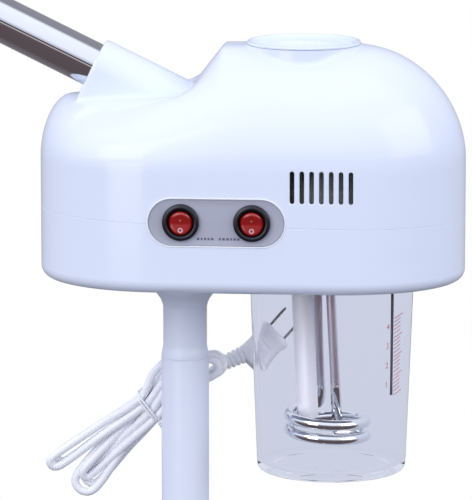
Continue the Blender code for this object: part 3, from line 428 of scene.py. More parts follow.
def melt(obj, voxel, rounds):
    """Fuses overlapping bodies into one skin and softens the lines where they meet."""
    fuse = obj.modifiers.new("fuse", "REMESH")
    fuse.mode = "VOXEL"
    fuse.voxel_size = voxel
    soften = obj.modifiers.new("soften", "SMOOTH")
    soften.factor = 0.5
    soften.iterations = rounds
    return settle(obj)


def lathed_tool(name, profile, at, segments=96):
    bm = bmesh.new()
    add_lathe(bm, profile, segments, at=at)
    return bare(name, bm)


def prism_tool(name, outline, levels, at):
    bm = bmesh.new()
    add_prism(bm, outline, levels, at)
    return bare(name, bm)


# --- stage: floor, light and camera ---


def make_camera():
    aim = Vector((32.2, 0, 16.6)) * MM + Vector((0, 0, HEAD_Z))
    azimuth, elevation, distance = radians(5), radians(10), 2.8
    way = Vector((sin(azimuth) * cos(elevation),
                  -cos(azimuth) * cos(elevation), sin(elevation)))
    camera = add_object("camera", bpy.data.cameras.new("camera"))
    camera.location = aim + way * distance
    camera.rotation_euler = (-way).to_track_quat("-Z", "Y").to_euler()
    camera.data.sensor_width = 36.0
    camera.data.lens = 321.0
    bpy.context.scene.camera = camera


def make_light(name, at, target, size, power, tint=(1, 1, 1)):
    lamp = bpy.data.lights.new(name, "AREA")
    lamp.shape = "RECTANGLE"
    lamp.size, lamp.size_y = size
    lamp.energy = power
    lamp.color = tint
    obj = add_object(name, lamp)
    obj.location = at
    obj.rotation_euler = (Vector(target) - Vector(at)).to_track_quat("-Z", "Y").to_euler()
    return obj


def ranged(tree, value, low, high):
    """A value mapped from low..high to 0..1."""
    node = add_node(tree, "MapRange", From_Min=low, From_Max=high)
    tree.links.new(value, node.inputs["Value"])
    return node.outputs["Result"]


# What lights the object, by height from straight down (0) to straight up (1)
SOFT_LIGHT = ((0.0, (0.12, 0.12, 0.15)), (0.44, (0.26, 0.27, 0.34)), (0.55, (1.04, 1.05, 1.2)),
              (0.75, (1.08, 1.09, 1.22)), (1.0, (0.87, 0.88, 0.98)))
# What bright metal and gloss reflect: a bright ceiling in front, and a grey wall behind
FRONT_GLOSS = ((0.0, (0.11, 0.085, 0.09)), (0.435, (0.12, 0.09, 0.10)), (0.455, (0.62, 0.52, 0.52)),
               (0.485, (0.52, 0.45, 0.47)), (0.5, (0.03, 0.03, 0.035)), (0.53, (0.04, 0.04, 0.05)),
               (0.56, (0.60, 0.61, 0.71)), (0.66, (0.98, 1.05, 1.18)), (1.0, (1.1, 1.14, 1.22)))
BACK_GLOSS = ((0.0, (0.12, 0.10, 0.11)), (0.45, (0.34, 0.32, 0.35)), (1.0, (0.30, 0.30, 0.35)))
WHITE = ((0.0, (1.0, 1.0, 1.0)), (1.0, (1.0, 1.0, 1.0)))
# What shows through the jar and in metal inside it
THROUGH_GLASS = ((0.0, (0.50, 0.52, 0.62)), (0.5, (0.64, 0.68, 0.79)), (1.0, (0.9, 0.95, 1.05)))


def make_world():
    """A soft studio in front of pure white. What a ray finds depends on its kind."""
    world = bpy.data.worlds.new("studio")
    bpy.context.scene.world = world
    world.use_nodes = True
    tree = world.node_tree
    tree.nodes.clear()
    split = add_node(tree, "SeparateXYZ")
    tree.links.new(add_node(tree, "TexCoord").outputs["Generated"], split.inputs["Vector"])
    height = ranged(tree, split.outputs["Z"], -1.0, 1.0)
    behind = ranged(tree, split.outputs["Y"], -0.1, 0.15)
    rays = add_node(tree, "LightPath").outputs

    def blended(factor, first, second):
        mix = tree.nodes.new("ShaderNodeMix")
        mix.data_type = "RGBA"
        for value, socket in ((factor, "Factor"), (first, "A"), (second, "B")):
            tree.links.new(value, mix.inputs[socket])
        return mix.outputs["Result"]

    def shaded(stops):
        return shade_ramp(tree, height, stops)

    gloss = blended(behind, shaded(FRONT_GLOSS), shaded(BACK_GLOSS))
    light = blended(rays["Is Glossy Ray"], shaded(SOFT_LIGHT), gloss)
    clear = shaded(THROUGH_GLASS)
    inside = blended(behind, shaded(FRONT_GLOSS), clear)
    through = blended(ranged(tree, rays["Glossy Depth"], 0.4, 0.6), clear, inside)
    lit = ranged(tree, rays["Diffuse Depth"], 0.4, 0.6)
    through = blended(lit, through, shaded(SOFT_LIGHT))
    light = blended(rays["Is Transmission Ray"], light, through)
    light = blended(rays["Is Camera Ray"], light, shaded(WHITE))
    glow = add_node(tree, "Background")
    tree.links.new(light, glow.inputs["Color"])
    out = add_node(tree, "OutputWorld")
    tree.links.new(glow.outputs["Background"], out.inputs["Surface"])


def make_stage():
    bpy.context.scene.view_settings.view_transform = "Standard"
    make_world()
    floor_mat = material("pale_floor", (0.80, 0.82, 0.86), 0.55, grain=0.02, scale=60, tone=0.01)
    bm = bmesh.new()
    rim = [Vector((x, y, FLOOR_Z - 0.2 * MM)) for x, y in circle(3, 96)]
    bm.faces.new([bm.verts.new(point) for point in rim])
    floor = bare("floor", bm)
    floor.data.materials.append(floor_mat)
    floor.visible_diffuse = floor.visible_glossy = floor.visible_transmission = False
    middle = (0.03, 0, HEAD_Z)
    make_light("key_light", (-1.5, -1.9, 2.4), middle, (1.8, 1.4), 15, (0.97, 0.98, 1.0))
    make_light("side_light", (2.2, -0.9, 1.9), middle, (2.0, 1.6), 14, (0.97, 0.98, 1.0))
    make_light("base_light", (-0.9, -1.5, 0.9), (0, 0, 0.1), (0.9, 0.7), 4, (1.0, 1.0, 1.0))
    low = make_light("plug_light", (0.95, -0.95, 0.70), (0.062, 0.07, 0.826), (0.06, 0.06), 0.011)
    low.data.spread = radians(4.5)


# --- mains cord ---

GLAND_AT, GLAND_LENGTH = Vector((-8, 32, 0)), 26
TIE_AT, TIE_WAY = Vector((-26, 32, -91)), Vector((-0.8, 0, -0.6))
BOOT_AT, BOOT_WAY = Vector((17.3, 54.5, -68.1)), Vector((0.874, 0.324, 0.362)).normalized()
BOOT_LENGTH = 20
PLUG_AT, PLUG_WAY = Vector((51, 71, -50.7)), Vector((0.624, 0.444, 0.643)).normalized()
PLUG_SPREAD = Vector((0.727, -0.029, -0.686))
PLUG_WIDTH, PLUG_DEPTH = 23, 15
BLADE_SPACING, BLADE_LENGTH = 12.7, 16.5
CORD_STEP = 2.0
TIE_ACROSS = Vector((-0.6, 0, 0.8))

# The folds of the hank, in millimetres: x, y, z, half-width and how far it leans in y
UPPER_FOLDS = ((-6, 27.5, -61, 6.2, 1), (14, 37.3, -64, 6.2, 1), (15, 32, -63, 6.4, 0),
               (13, 26.7, -64.5, 5.6, -1))
TIPS = ((-86.5, 28.0, -128.1, 3.6, 1.2), (-83, 35.8, -126, 3.6, 1.2), (-67, 31.6, -141, 7.4, 0),
        (-66.5, 30.8, -135.5, 3.0, 1.8), (-63.5, 37.0, -139, 5.0, 0.6))
# The slots that the turns take through the tie, in cord diameters from its middle
SLOTS_OUT = ((1.5, 0), (1.5, -1), (1.5, 1), (0.5, 0), (-0.5, -1))
SLOTS_BACK = ((0.5, -1), (0.5, 1), (-0.5, 0), (-1.5, -1), (-1.5, 1))
SLOT_PITCH = 5.35


def tie_slot(slot):
    return TIE_AT + (TIE_ACROSS * slot[0] + Y_AXIS * slot[1]) * SLOT_PITCH


def fold_points(fold, first_side):
    """Points around a fold: one side, its far end, away from the tie, and its other side."""
    x, y, z, half, lean = fold
    outward = Vector((x - TIE_AT.x, 0, z - TIE_AT.z)).normalized()
    side = Vector((-outward.z, 0, outward.x)) * half + Y_AXIS * lean
    if side.dot(TIE_ACROSS) < 0:
        side = -side
    points = []
    for turn in range(0, 181, 45):
        turn = radians(turn)
        across = side * first_side * cos(turn)
        points.append(Vector((x, y, z)) + across + outward * side.length * sin(turn))
    return points


def cord_route():
    """The route in millimetres, from the gland through the tied turns to the plug."""
    way_in = ((-8, 32, -38), (-8.3, 32, -50), (-14, 32, -67))
    way_out = ((-18, 40, -87), (-12.6, 44.5, -86), (-9.5, 50, -86.2), (-4, 53.4, -86),
               (3, 53.6, -82.5), (11.2, 52.6, -72.6))
    route = [GLAND_AT - Z_AXIS * GLAND_LENGTH] + [Vector(point) for point in way_in]
    for turn, (tip, out, back) in enumerate(zip(TIPS, SLOTS_OUT, SLOTS_BACK)):
        start, end = tie_slot(out), tie_slot(back)
        fold = fold_points(tip, 1)
        route += [start, start.lerp(fold[0], 0.5)] + fold + [end.lerp(fold[-1], 0.5), end]
        if turn < len(UPPER_FOLDS):
            fold = fold_points(UPPER_FOLDS[turn], -1)
            after = tie_slot(SLOTS_OUT[turn + 1])
            bulge = TIE_ACROSS * (4.5 if turn else 3)
            route += [end.lerp(fold[0], 0.5) + bulge] + fold + [after.lerp(fold[-1], 0.5) + bulge]
    return route + [Vector(point) for point in way_out] + [BOOT_AT, BOOT_AT + BOOT_WAY * 6]


def between(a, b, start, end, t):
    """The point at t on the line that runs from a, at start, to b, at end."""
    return a * ((end - t) / (end - start)) + b * ((t - start) / (end - start))


def even_curve(points, spacing):
    """Points at even steps on a centripetal curve through the given ones."""
    ends = stretched(points)
    fine = [points[0]]
    for p0, p1, p2, p3 in zip(ends, ends[1:], ends[2:], ends[3:]):
        t1 = (p1 - p0).length ** 0.5
        t2 = t1 + (p2 - p1).length ** 0.5
        t3 = t2 + (p3 - p2).length ** 0.5
        for step in range(1, 25):
            t = t1 + (t2 - t1) * step / 24
            a1, a2 = between(p0, p1, 0, t1, t), between(p1, p2, t1, t2, t)
            a3 = between(p2, p3, t2, t3, t)
            b1, b2 = between(a1, a2, 0, t2, t), between(a2, a3, t1, t3, t)
            fine.append(between(b1, b2, t1, t2, t))
    even, left = [fine[0]], spacing
    for a, b in zip(fine, fine[1:]):
        gap, done = (b - a).length, 0.0
        while gap - done >= left:
            done += left
            even.append(a.lerp(b, done / gap))
            left = spacing
        left -= gap - done
    if (even[-1] - fine[-1]).length < spacing / 2:
        even.pop()
    return even + [fine[-1]]


def make_cord():
    line = [HEAD @ (point * MM) for point in even_curve(cord_route(), CORD_STEP)]
    curve = bpy.data.curves.new("mains_cord", "CURVE")
    curve.dimensions = "3D"
    curve.bevel_depth = CORD_RADIUS
    curve.bevel_resolution = 5
    curve.use_fill_caps = True
    spline = curve.splines.new("POLY")
    spline.points.add(len(line) - 1)
    for slot, point in zip(spline.points, line):
        slot.co = (*point, 1.0)
    spline.use_smooth = True
    curve.materials.append(CORD)
    cord = add_object("mains_cord", curve)
    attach(cord, "head")
    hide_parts("cord_lead", "cord_hank", "cord_tail")
    pieces = [make_tie()] + make_plug()
    make_gland()


def make_tie():
    """Two turns of a thin wire tie around the hank, with its ends twisted together."""
    half_across, half_deep = 11.4 * MM, 9.2 * MM
    line = []
    for way in shares(96):
        turn = radians(-60 + 720 * way)
        across, deep = squarish(turn, half_across, half_deep, 0.6)
        along = (way - 0.5) * 4 * MM
        line.append(TIE_AT * MM + TIE_ACROSS * across + Y_AXIS * deep + TIE_WAY * along)
    bm = bmesh.new()
    add_rings(bm, sweep_rings(line, 0.8 * MM, 10))
    root = TIE_AT * MM - Y_AXIS * half_deep - TIE_ACROSS * 8 * MM
    for side in (0, pi):
        twist = []
        for way in shares(24):
            turn = side + 3 * tau * way
            around = TIE_WAY * cos(turn) + Y_AXIS * sin(turn)
            twist.append(root - TIE_ACROSS * (3 + 9 * way) * MM + around * 0.7 * MM)
        add_rings(bm, sweep_rings(twist, 0.6 * MM, 8))
    return place("cord_wire_tie", bm, CORD, "head", "cord_white", "cord_tie")


def make_plug():
    """A waisted plug with four grips a side, its ribbed boot and two flat blades."""
    face = facing(PLUG_AT * MM, PLUG_WAY, PLUG_SPREAD)
    bm = bmesh.new()
    levels = [(3.4, -26), (1.6, -24.6), (0.8, -22), (1.3, -17), (1.5, -12), (1.0, -7)]
    levels += [(0.1, -4.5), (0, -3.6), (0, -0.9), (0.3, -0.25), (0.9, 0)]
    add_prism(bm, stadium(PLUG_WIDTH * MM, PLUG_DEPTH * MM, 10), mm(levels), face)
    for row in range(4):
        for side in (-1, 1):
            grip = shifted(face, 0, side * (PLUG_DEPTH / 2 - 1.4) * MM, (-18.5 + 3.6 * row) * MM)
            ridge = grip @ Matrix.Rotation(pi / 2, 4, "Y")
            add_prism(bm, stadium(1.6 * MM, 1.5 * MM, 4), edged(-4.5, 4.5, 0.4), ridge)
    body = place("plug_body", bm, CORD, "head", "cord_white", "power_plug")

    ribs = [(0, 0), (4.2, 0)]
    for rib in range(6):
        z, radius = 0.4 + rib * 3.3, 4.7 + 0.2 * rib
        ribs += [(radius, z, 0.5), (radius + 0.1, z + 1.9, 0.5)]
        ribs += [(radius - 1.1, z + 2.1, 0.3), (radius - 1.1, z + 3.0, 0.3)]
    end = BOOT_LENGTH + 9.5
    ribs += [(6.4, end - 7.5, 1), (7.2, end - 3.5, 2), (4.5, end, 1), (0, end)]
    boot = lathe("plug_boot", ribs, CORD, "head", "cord_white", segments=48,
                 at=HEAD @ facing(BOOT_AT * MM, BOOT_WAY))

    bm = bmesh.new()
    levels = mm([(0, -2), (0, BLADE_LENGTH - 1.2), (0.35, BLADE_LENGTH)])
    for side in (-1, 1):
        x = side * BLADE_SPACING / 2
        flat = [(x - 0.75, -3.15), (x + 0.75, -3.15), (x + 0.75, 3.15), (x - 0.75, 3.15)]
        add_prism(bm, mm(flat), levels, face)
    blades = place("plug_blades", bm, BLADE, "head", "cord_white", sharp=30)
    return [body, boot, blades]


def make_gland():
    """A tapered strain relief with flexing ribs, under a round flange."""
    profile = [(2.75, -GLAND_LENGTH), (3.5, -GLAND_LENGTH, 0.4)]
    for rib in range(5):
        z, radius = -23.4 + 3.6 * rib, 3.8 + 0.35 * rib
        profile += [(radius, z - 1.2, 0.3), (radius + 0.1, z + 1.2, 0.3)]
        profile += [(radius - 0.9, z + 1.4, 0.2), (radius - 0.9, z + 2.2, 0.2)]
    profile += [(5.4, -5, 0.8), (7, -4.2, 0.6), (7, -0.3, 0.3), (4.5, -0.3), (4.5, 2.8)]
    profile += [(6.5, 2.8), (6.5, 8), (2.75, 8)]
    lathe("cord_strain_relief", profile, CORD, "head", "cord_white", "cord_gland", 40, True,
          HEAD @ Matrix.Translation(GLAND_AT * MM))


# --- head shells ---


def clamp01(value):
    return min(1.0, max(0.0, value))


def smoothstep(value):
    value = clamp01(value)
    return value * value * (3 - 2 * value)


def crest(x, lift):
    """The height of the top at x: steep along the ridge, where lift is 1, and soft on the sides."""
    steep = clamp01((x - RAMP_START) / RAMP_LENGTH)
    soft = smoothstep((x + 55 * MM) / (115 * MM))
    share = smoothstep((lift - 0.55) / 0.35)
    return DECK_Z + (DOME_Z - DECK_Z) * (share * steep + (1 - share) * soft)


def plan_ring(spacing=4 * MM, corner_steps=30):
    """The head's outline as (centre, angle) all the way round."""
    left, right = HEAD_LEFT + END_LENGTH, HEAD_RIGHT - END_LENGTH
    turns = [radians(90 * way) for way in shares(corner_steps)]
    steps = round((right - left) / spacing)
    back = [(left, pi - turn) for turn in turns[:-1]]
    back += [(left + (right - left) * way, pi / 2) for way in shares(steps)[:-1]]
    back += [(right, pi / 2 - turn) for turn in turns]
    return back + [(centre, -angle) for centre, angle in back[-2:0:-1]]


def plan_point(centre, angle, inset):
    x = centre + (END_LENGTH - inset) * cos(angle)
    return x, (HEAD_HALF_DEPTH - inset) * sin(angle)


def top_point(centre, angle, inset, lift):
    """A point on the rolled top. lift goes from 0 at the side wall to 1 at the ridge."""
    edge_x, edge_y = plan_point(centre, angle, inset)
    roll = RIGHT_ROLL if cos(angle) > 0 else LEFT_ROLL
    ridge_x = centre + (END_LENGTH - roll) * cos(angle)
    ridge_y = RIDGE_HALF_DEPTH * sin(angle)
    turn = lift * pi / 2
    out = cos(turn) ** (2 / ROLL_POWER) if lift < 1 else 0.0
    rise = sin(turn) ** (2 / ROLL_POWER)
    x = ridge_x + (edge_x - ridge_x) * out
    y = ridge_y + (edge_y - ridge_y) * out
    return Vector((x, y, ROLL_Z + (crest(x, lift) - inset - ROLL_Z) * rise))


def wall_ring(inset, height, lean=0.0):
    ring = []
    for centre, angle in plan_ring():
        x, y = plan_point(centre, angle, inset)
        ring.append(Vector((x, y, height + lean * (SEAM_MIDDLE - x))))
    return ring


def add_head(bm, rings):
    """Joins rings of the head's outline, with ends made of strips from its back to its front."""
    rows, _ = add_skin(bm, rings)
    count = len(rows[0])
    for ring in (rows[0], rows[-1]):
        for a in range(count // 2):
            corners = []
            for corner in (a, a + 1, (count - a - 1) % count, (count - a) % count):
                if ring[corner] not in corners:
                    corners.append(ring[corner])
            bm.faces.new(corners)


def upper_rings(inset, start, steps=22):
    rings = [wall_ring(inset, start), wall_ring(inset, SEAM_Z + 8 * MM), wall_ring(inset, ROLL_Z)]
    for lift in shares(steps)[1:]:
        rings.append([top_point(centre, angle, inset, lift) for centre, angle in plan_ring()])
    return rings


def slot_cutter(bm, outline, x, z, chamfer, deep=8 * MM):
    """A cut through the front wall, a little wider at the surface."""
    at = shifted(FRONT, x, z)
    levels = [(0, -deep), (0, -chamfer), (-chamfer, 0), (-chamfer - 2 * MM, 2 * MM)]
    add_prism(bm, outline, levels, at)


def panel_cutter():
    bm = bmesh.new()
    outline = stadium(PANEL_LENGTH + 2 * GAP, PANEL_HEIGHT + 2 * GAP, 20)
    slot_cutter(bm, outline, PANEL_X, PANEL_Z, 0.7 * MM)
    return bare("panel_cutter", bm)


def head_solid(name, rings):
    bm = bmesh.new()
    add_head(bm, rings)
    return bare(name, bm, HEAD)


def make_upper_shell():
    """The dome with the arm's socket and the lid's collar melted on, hollowed and cut open."""
    shell = head_solid("upper_shell_body", upper_rings(0.0, SEAM_Z - 10 * MM))
    bm = bmesh.new()
    arch = arc((0, 0), SOCKET_RADIUS, -90, 90, 32) + mm([(-40, 18.4), (-40, -18.4)])
    add_prism(bm, arch, [(0, -78 * MM), (0, SOCKET_MOUTH)], ARM)
    collar = shifted(HEAD, LID_X)
    add_lathe(bm, rod(35.2, 100, 154), at=collar)
    combine(shell, [bare("upper_shell_additions", bm)], "UNION")
    melt(shell, 1.2 * MM, 7)
    hollow = head_solid("upper_hollow", upper_rings(WALL, SEAM_Z - 5 * MM, 10))
    inner = BVHTree.FromObject(hollow, bpy.context.evaluated_depsgraph_get())
    square = mm([(-300, -300), (300, -300), (300, 300), (-300, 300)])
    lean = shifted(HEAD, SEAM_MIDDLE, 0, SEAM_Z + GAP / 2)
    lean = lean @ Matrix.Rotation(atan(SEAM_LEAN), 4, "Y")
    below = prism_tool("below_seam", square, mm([(0, -60), (0, 0)]), lean)
    rest = DOME_Z / MM + 0.4  # the lid's lip lies on the collar here
    lid_hole = mm([(0, 90), (31, 90), (31, rest), (60, rest), (60, 165), (0, 165)])
    vents = bmesh.new()
    upright = [(b, a) for a, b in stadium(VENT_HEIGHT, VENT_WIDTH, 8)]
    for number in range(VENT_COUNT):
        x = VENT_X + (number - (VENT_COUNT - 1) / 2) * VENT_PITCH
        slot_cutter(vents, upright, x, VENT_Z, 0.45 * MM)
    combine(shell, [below, hollow, lathed_tool("socket_bore", rod(SOCKET_BORE / MM, -90, 12), ARM),
                    lathed_tool("lid_hole", lid_hole, collar), bare("vent_cutters", vents),
                    panel_cutter()])
    shell.name = "head_upper_shell"
    dress(shell, [SHELL, INNER_SHADE], "head", "upper_shell", 30)
    # Faces that line the hollow get the near-black painted shade, so the inside looks dark through
    # the vents and openings
    touching = 0.05 * MM
    for face in shell.data.polygons:
        face.material_index = int(inner.find_nearest(face.center)[3] < touching)


SCREW_SPOTS = ((-58, -34), (-58, 34), (148, -30), (148, 30))


def make_lower_shell():
    """The tray, with a rounded lower edge and a leaning upper one."""
    rings = []
    for way in shares(8):
        turn = radians(90 * way)
        side = BOTTOM_ROUND * (1 - sin(turn))
        rings.append(wall_ring(side, BOTTOM_ROUND * (1 - cos(turn))))
    top, ease, tilt = SEAM_Z + 0.05 * MM, 0.3 * MM, SEAM_LEAN
    rings += [wall_ring(0, BOTTOM_ROUND + 0.6 * MM), wall_ring(0, top / 2, tilt / 2)]
    rings += [wall_ring(0, top - ease - 0.5 * MM, tilt), wall_ring(0, top - ease, tilt)]
    rings += [wall_ring(0.12 * MM, top - 0.12 * MM, tilt), wall_ring(ease, top, tilt)]
    shell = head_solid("head_lower_shell", rings)
    rings = [wall_ring(WALL + 6 * MM, WALL), wall_ring(WALL + 2 * MM, WALL + 2 * MM)]
    rings += [wall_ring(WALL, WALL + 6 * MM), wall_ring(WALL, SEAM_Z + 9 * MM)]
    hollow = head_solid("lower_hollow", rings)
    mouth = mm([(0, -5), (62.8, -5), (57.6, 0.2), (56.8, 1), (56.8, 12), (0, 12)])
    holes = bmesh.new()
    countersunk = mm([(0, -1), (5.6, -1), (4.5, 0.5), (4.5, 12), (0, 12)])
    for x, y in mm(SCREW_SPOTS):
        add_lathe(holes, countersunk, 32, at=shifted(HEAD, x, y))
    combine(shell, [hollow, lathed_tool("jar_mouth", mouth, JAR), bare("screw_holes", holes),
                    lathed_tool("neck_hole", rod(16, -5, 12), HEAD),
                    lathed_tool("gland_hole", rod(4.8, -5, 12), shifted(HEAD, *GLAND_AT * MM)),
                    panel_cutter()])
    dress(shell, SHELL, "head", "lower_shell", 30)


def make_lid():
    """A lid with a lip that rests on the collar and a dished top."""
    profile = [(0, 139.3), (30.4, 139.3, 0.8), (30.4, 147.9, 0.2), (35.3, 147.9, 0.3)]
    profile += [(35.5, 148.9, 0.6), (34.9, 149.7, 0.6), (33.6, 149.7, 0.5), (31.8, 147.2, 3)]
    profile += [(28.2, 143.0, 2), (20, 142.4, 2), (0, 142.3)]
    lathe("filler_lid", profile, SHELL, "lid", "white_shell", "lid", 144, at=shifted(HEAD, LID_X),
          sharp=40, steps=5)


# --- front panel ---


def make_panel():
    """The grey plate in its pocket, with generic marks printed under the switches."""
    at = shifted(FRONT, PANEL_X, PANEL_Z)
    levels = mm([(0.4, -2.6), (0, -2.4), (0, -1.0), (0.25, -0.7), (0.9, -0.62), (1.2, -0.7)])
    plate = prism_tool("panel_plate", stadium(PANEL_LENGTH, PANEL_HEIGHT, 24), levels, at)
    holes = bmesh.new()
    for side in (-1, 1):
        add_lathe(holes, rod(10.2, -8, 4), 48, at=shifted(at, side * SWITCH_SPACING / 2))
    combine(plate, [bare("switch_holes", holes)])
    dress(plate, PANEL, "head", "control_panel")

    # A thin rim round the pocket in the whiter material: a painted highlight along the pocket's
    # edge
    grow = (1.8 * MM, 0.1 * MM)
    outlines = [stadium(PANEL_LENGTH + more, PANEL_HEIGHT + more, 32) for more in grow]
    levels = mm([(0.3, -0.8), (0, -0.8), (0, 0.2), (0.22, 0.42), (0.55, 0.42), (0.75, 0.25)])
    rim = prism_tool("panel_rim", outlines[0], levels, at)
    combine(rim, [prism_tool("rim_room", outlines[1], mm([(0, -4), (0, 2)]), at)])
    dress(rim, RIM_HIGHLIGHT, "head", (), 30)

    bm = bmesh.new()
    low, high = -10.9, -9.4
    for x, widths in ((-11.9, (1.6, 1.2, 1.5, 1.3, 1.6)), (1.6, (1.3, 1.7, 1.8, 1.2, 1.5, 1.4))):
        for width in widths:
            mark = mm([(x, low), (x + width, low), (x + width, high), (x, high)])
            add_prism(bm, mark, mm([(0, -0.75), (0.05, -0.64)]), at)
            x += width + 0.75
    place("panel_marks", bm, GREY_INK, "head", "panel_grey", at=Matrix())


def make_switch(name, side):
    """A round body and a key: a disc whose face dips along its middle, pressed at its low half."""
    at = shifted(FRONT, PANEL_X + side * SWITCH_SPACING / 2, PANEL_Z)
    profile = [(0, -9), (8.2, -9), (8.2, 1.2, 0.4), (8.6, 2.3, 0.3), (9.6, 2.6, 0.6)]
    profile += [(11.2, 1.9, 1.0), (11.5, 0.5, 0.4), (11.4, -0.6), (9.9, -0.6), (9.9, -15), (0, -15)]
    lathe(f"{name}_switch_body", profile, BLACK, "head", "switch_black", f"{name}_switch", 96,
          at=at, sharp=40, steps=5)
    pivot = shifted(at, z=-2.1 * MM) @ Matrix.Rotation(ROCKER_TILT, 4, "X")

    def face_height(x, y):
        valley = hypot(y, 0.9 * MM) - 0.9 * MM
        return 3.5 * MM + valley * KEY_SLOPE - x * x * 4.0

    def ring(radius, height=None):
        """Points round the key, on its face or at a height."""
        points = []
        for x, y in circle(radius * MM, 72):
            z = face_height(x, y) if height is None else height * MM
            points.append(pivot @ Vector((x, y, z)))
        return points

    rings = [ring(4.5, -4), ring(7.1, 1)]
    drop = pivot.to_3x3() @ Z_AXIS
    for radius, depth in ((7.45, 2.8), (7.45, 2.0), (7.2, 1.15), (6.75, 0.55), (6.2, 0.15)):
        rings.append([point - drop * depth * MM for point in ring(radius)])
    rings += [ring(radius) for radius in (5.8, 5.0, 4.2, 3.2, 2.2, 1.2, 0.3)]
    bm = bmesh.new()
    add_rings(bm, rings)
    place(f"{name}_key", bm, RED, f"{name}_rocker", "rocker_red", f"{name}_rocker", Matrix(), 40)

    bm = bmesh.new()
    line = mm([(-0.5, 1.7), (0.5, 1.7), (0.5, 3.2), (-0.5, 3.2)])
    top = face_height(0, 2.45 * MM) + 0.06 * MM
    add_prism(bm, line, [(0, top - 0.9 * MM), (0, top)], pivot, 1)
    ring_at = shifted(pivot, 0, -4.1 * MM, face_height(0, 4.1 * MM) - 0.1 * MM)
    ring_at = ring_at @ Matrix.Rotation(atan(-KEY_SLOPE), 4, "X")
    add_lathe(bm, mm([(0.85, -0.3), (1.6, -0.3), (1.6, 0.16), (0.85, 0.16)]), 32, True, ring_at)
    place(f"{name}_key_marks", bm, [MARK, DIM_MARK], f"{name}_rocker", "rocker_red", at=Matrix())


# --- jar, heater and level tube ---


def jar_radius(z):
    """The jar's outer radius at a height: it widens upwards."""
    foot = JAR_BOTTOM + 8 * MM
    return JAR_FOOT_RADIUS + (JAR_RADIUS - JAR_FOOT_RADIUS) * (z - foot) / (JAR_TOP - foot)


def on_jar(turn, z, lift):
    """A point on the jar's front, turned from the middle of its front towards +X."""
    radius = jar_radius(z) + lift
    return Vector((radius * sin(turn), -radius * cos(turn), z))


PRINT_LIFT = 0.06 * MM
BAR_HALF, BAR_LOW, TICK_PITCH = radians(1.45), -68.5, 2.45


def bar_turn(z):
    """Where the level bar runs: it turns a little further round towards the foot."""
    return radians(50.3 + 3.1 * (9.5 * MM - z) / (78 * MM))


def printed(bm, corners):
    """A thin printed patch on the jar. corners are (turn, height) going round."""
    lifts = (0.01 * MM, PRINT_LIFT)
    add_rings(bm, [[on_jar(turn, z, lift) for turn, z in corners] for lift in lifts])


def make_jar():
    """A tapered glass beaker with its level bar, scale and numerals."""
    profile = [(0, -121.2), (34, -121.2, 2), (37, -122, 1), (46.2, -122, 5), (47, -114, 3)]
    profile += [(52, 16, 0.8), (49.4, 16, 0.8), (44.4, -114, 4), (43.6, -117.4, 4)]
    profile += [(36.5, -117.6, 1.0), (35.5, -117.0, 1.0), (0, -117.0)]
    bm = bmesh.new()
    add_lathe(bm, turned(profile, 6), 160)
    nub = mm([(0, 0.6), (1.3, 0.6), (1.0, -1.2), (0, -1.7)])
    add_lathe(bm, nub, 16, at=shifted(Matrix(), -9 * MM, -9 * MM, -121.2 * MM))
    jar = place("water_jar", bm, GLASS, "jar", "clear_glass", "glass_jar", JAR, 40)
    jar.visible_shadow = False  # clear glass lets light through to what is in and behind it

    bm = bmesh.new()
    heights = [(BAR_LOW + 78 * way) * MM for way in shares(24)]
    for low, high in zip(heights, heights[1:]):
        a, b = bar_turn(low), bar_turn(high)
        printed(bm, [(a - BAR_HALF, low), (a + BAR_HALF, low), (b + BAR_HALF, high),
                     (b - BAR_HALF, high)])
    place("jar_level_line", bm, INK, "jar", "clear_glass", at=JAR)

    bm = bmesh.new()
    for tick in range(21):
        z = (BAR_LOW - 0.5 + TICK_PITCH * tick) * MM
        reach = radians(10.5 if tick % 5 == 0 else 7.5)
        start, lean, thick = bar_turn(z) + 1.6 * BAR_HALF, 2.2 * MM, 0.5 * MM
        for part in range(3):
            a, b = start + reach * part / 3, start + reach * (part + 1) / 3
            low, high = z + lean * part / 3, z + lean * (part + 1) / 3
            printed(bm, [(a, low), (b, high), (b, high + thick), (a, low + thick)])
    place("jar_scale_ticks", bm, RED_INK, "jar", "clear_glass", at=JAR)
    make_jar_numerals()


def make_jar_numerals():
    """Plain graduation numerals beside the level line, bent round the jar."""
    bm = bmesh.new()
    for number in range(1, 5):
        text = bpy.data.curves.new("numeral", "FONT")
        text.body = str(number)
        text.size = 5.4 * MM
        holder = add_object("numeral", text)
        mesh = final_mesh(holder)
        part = bmesh.new()
        part.from_mesh(mesh)
        height = (BAR_LOW + TICK_PITCH * 5 * (number - 0.55)) * MM
        for vert in part.verts:
            turn = radians(46.2) + vert.co.x / JAR_RADIUS
            vert.co = on_jar(turn, height + vert.co.y, PRINT_LIFT)
        part.to_mesh(mesh)
        part.free()
        bm.from_mesh(mesh)
        bpy.data.objects.remove(holder, do_unlink=True)
        bpy.data.meshes.remove(mesh)
    place("jar_numerals", bm, RED_INK, "jar", "clear_glass", at=JAR)


def make_lock_ring():
    """The ring that holds the jar, with a raised band round its lower edge."""
    profile = [(52.4, 0.4), (56.1, 0.4, 0.4), (56.5, 3.3, 0.2), (58, 3.3, 0.3), (58, 6, 0.3)]
    profile += [(56.5, 7), (56.5, 15.5), (52.4, 15.5)]
    lathe("jar_ring", profile, SHELL, "lock_ring", "white_shell", "jar_lock_ring", 120, True, JAR)


LEG_TAPER_LOW, LEG_TAPER, LEG_FOOT = -76 * MM, 6 * MM, -72 * MM


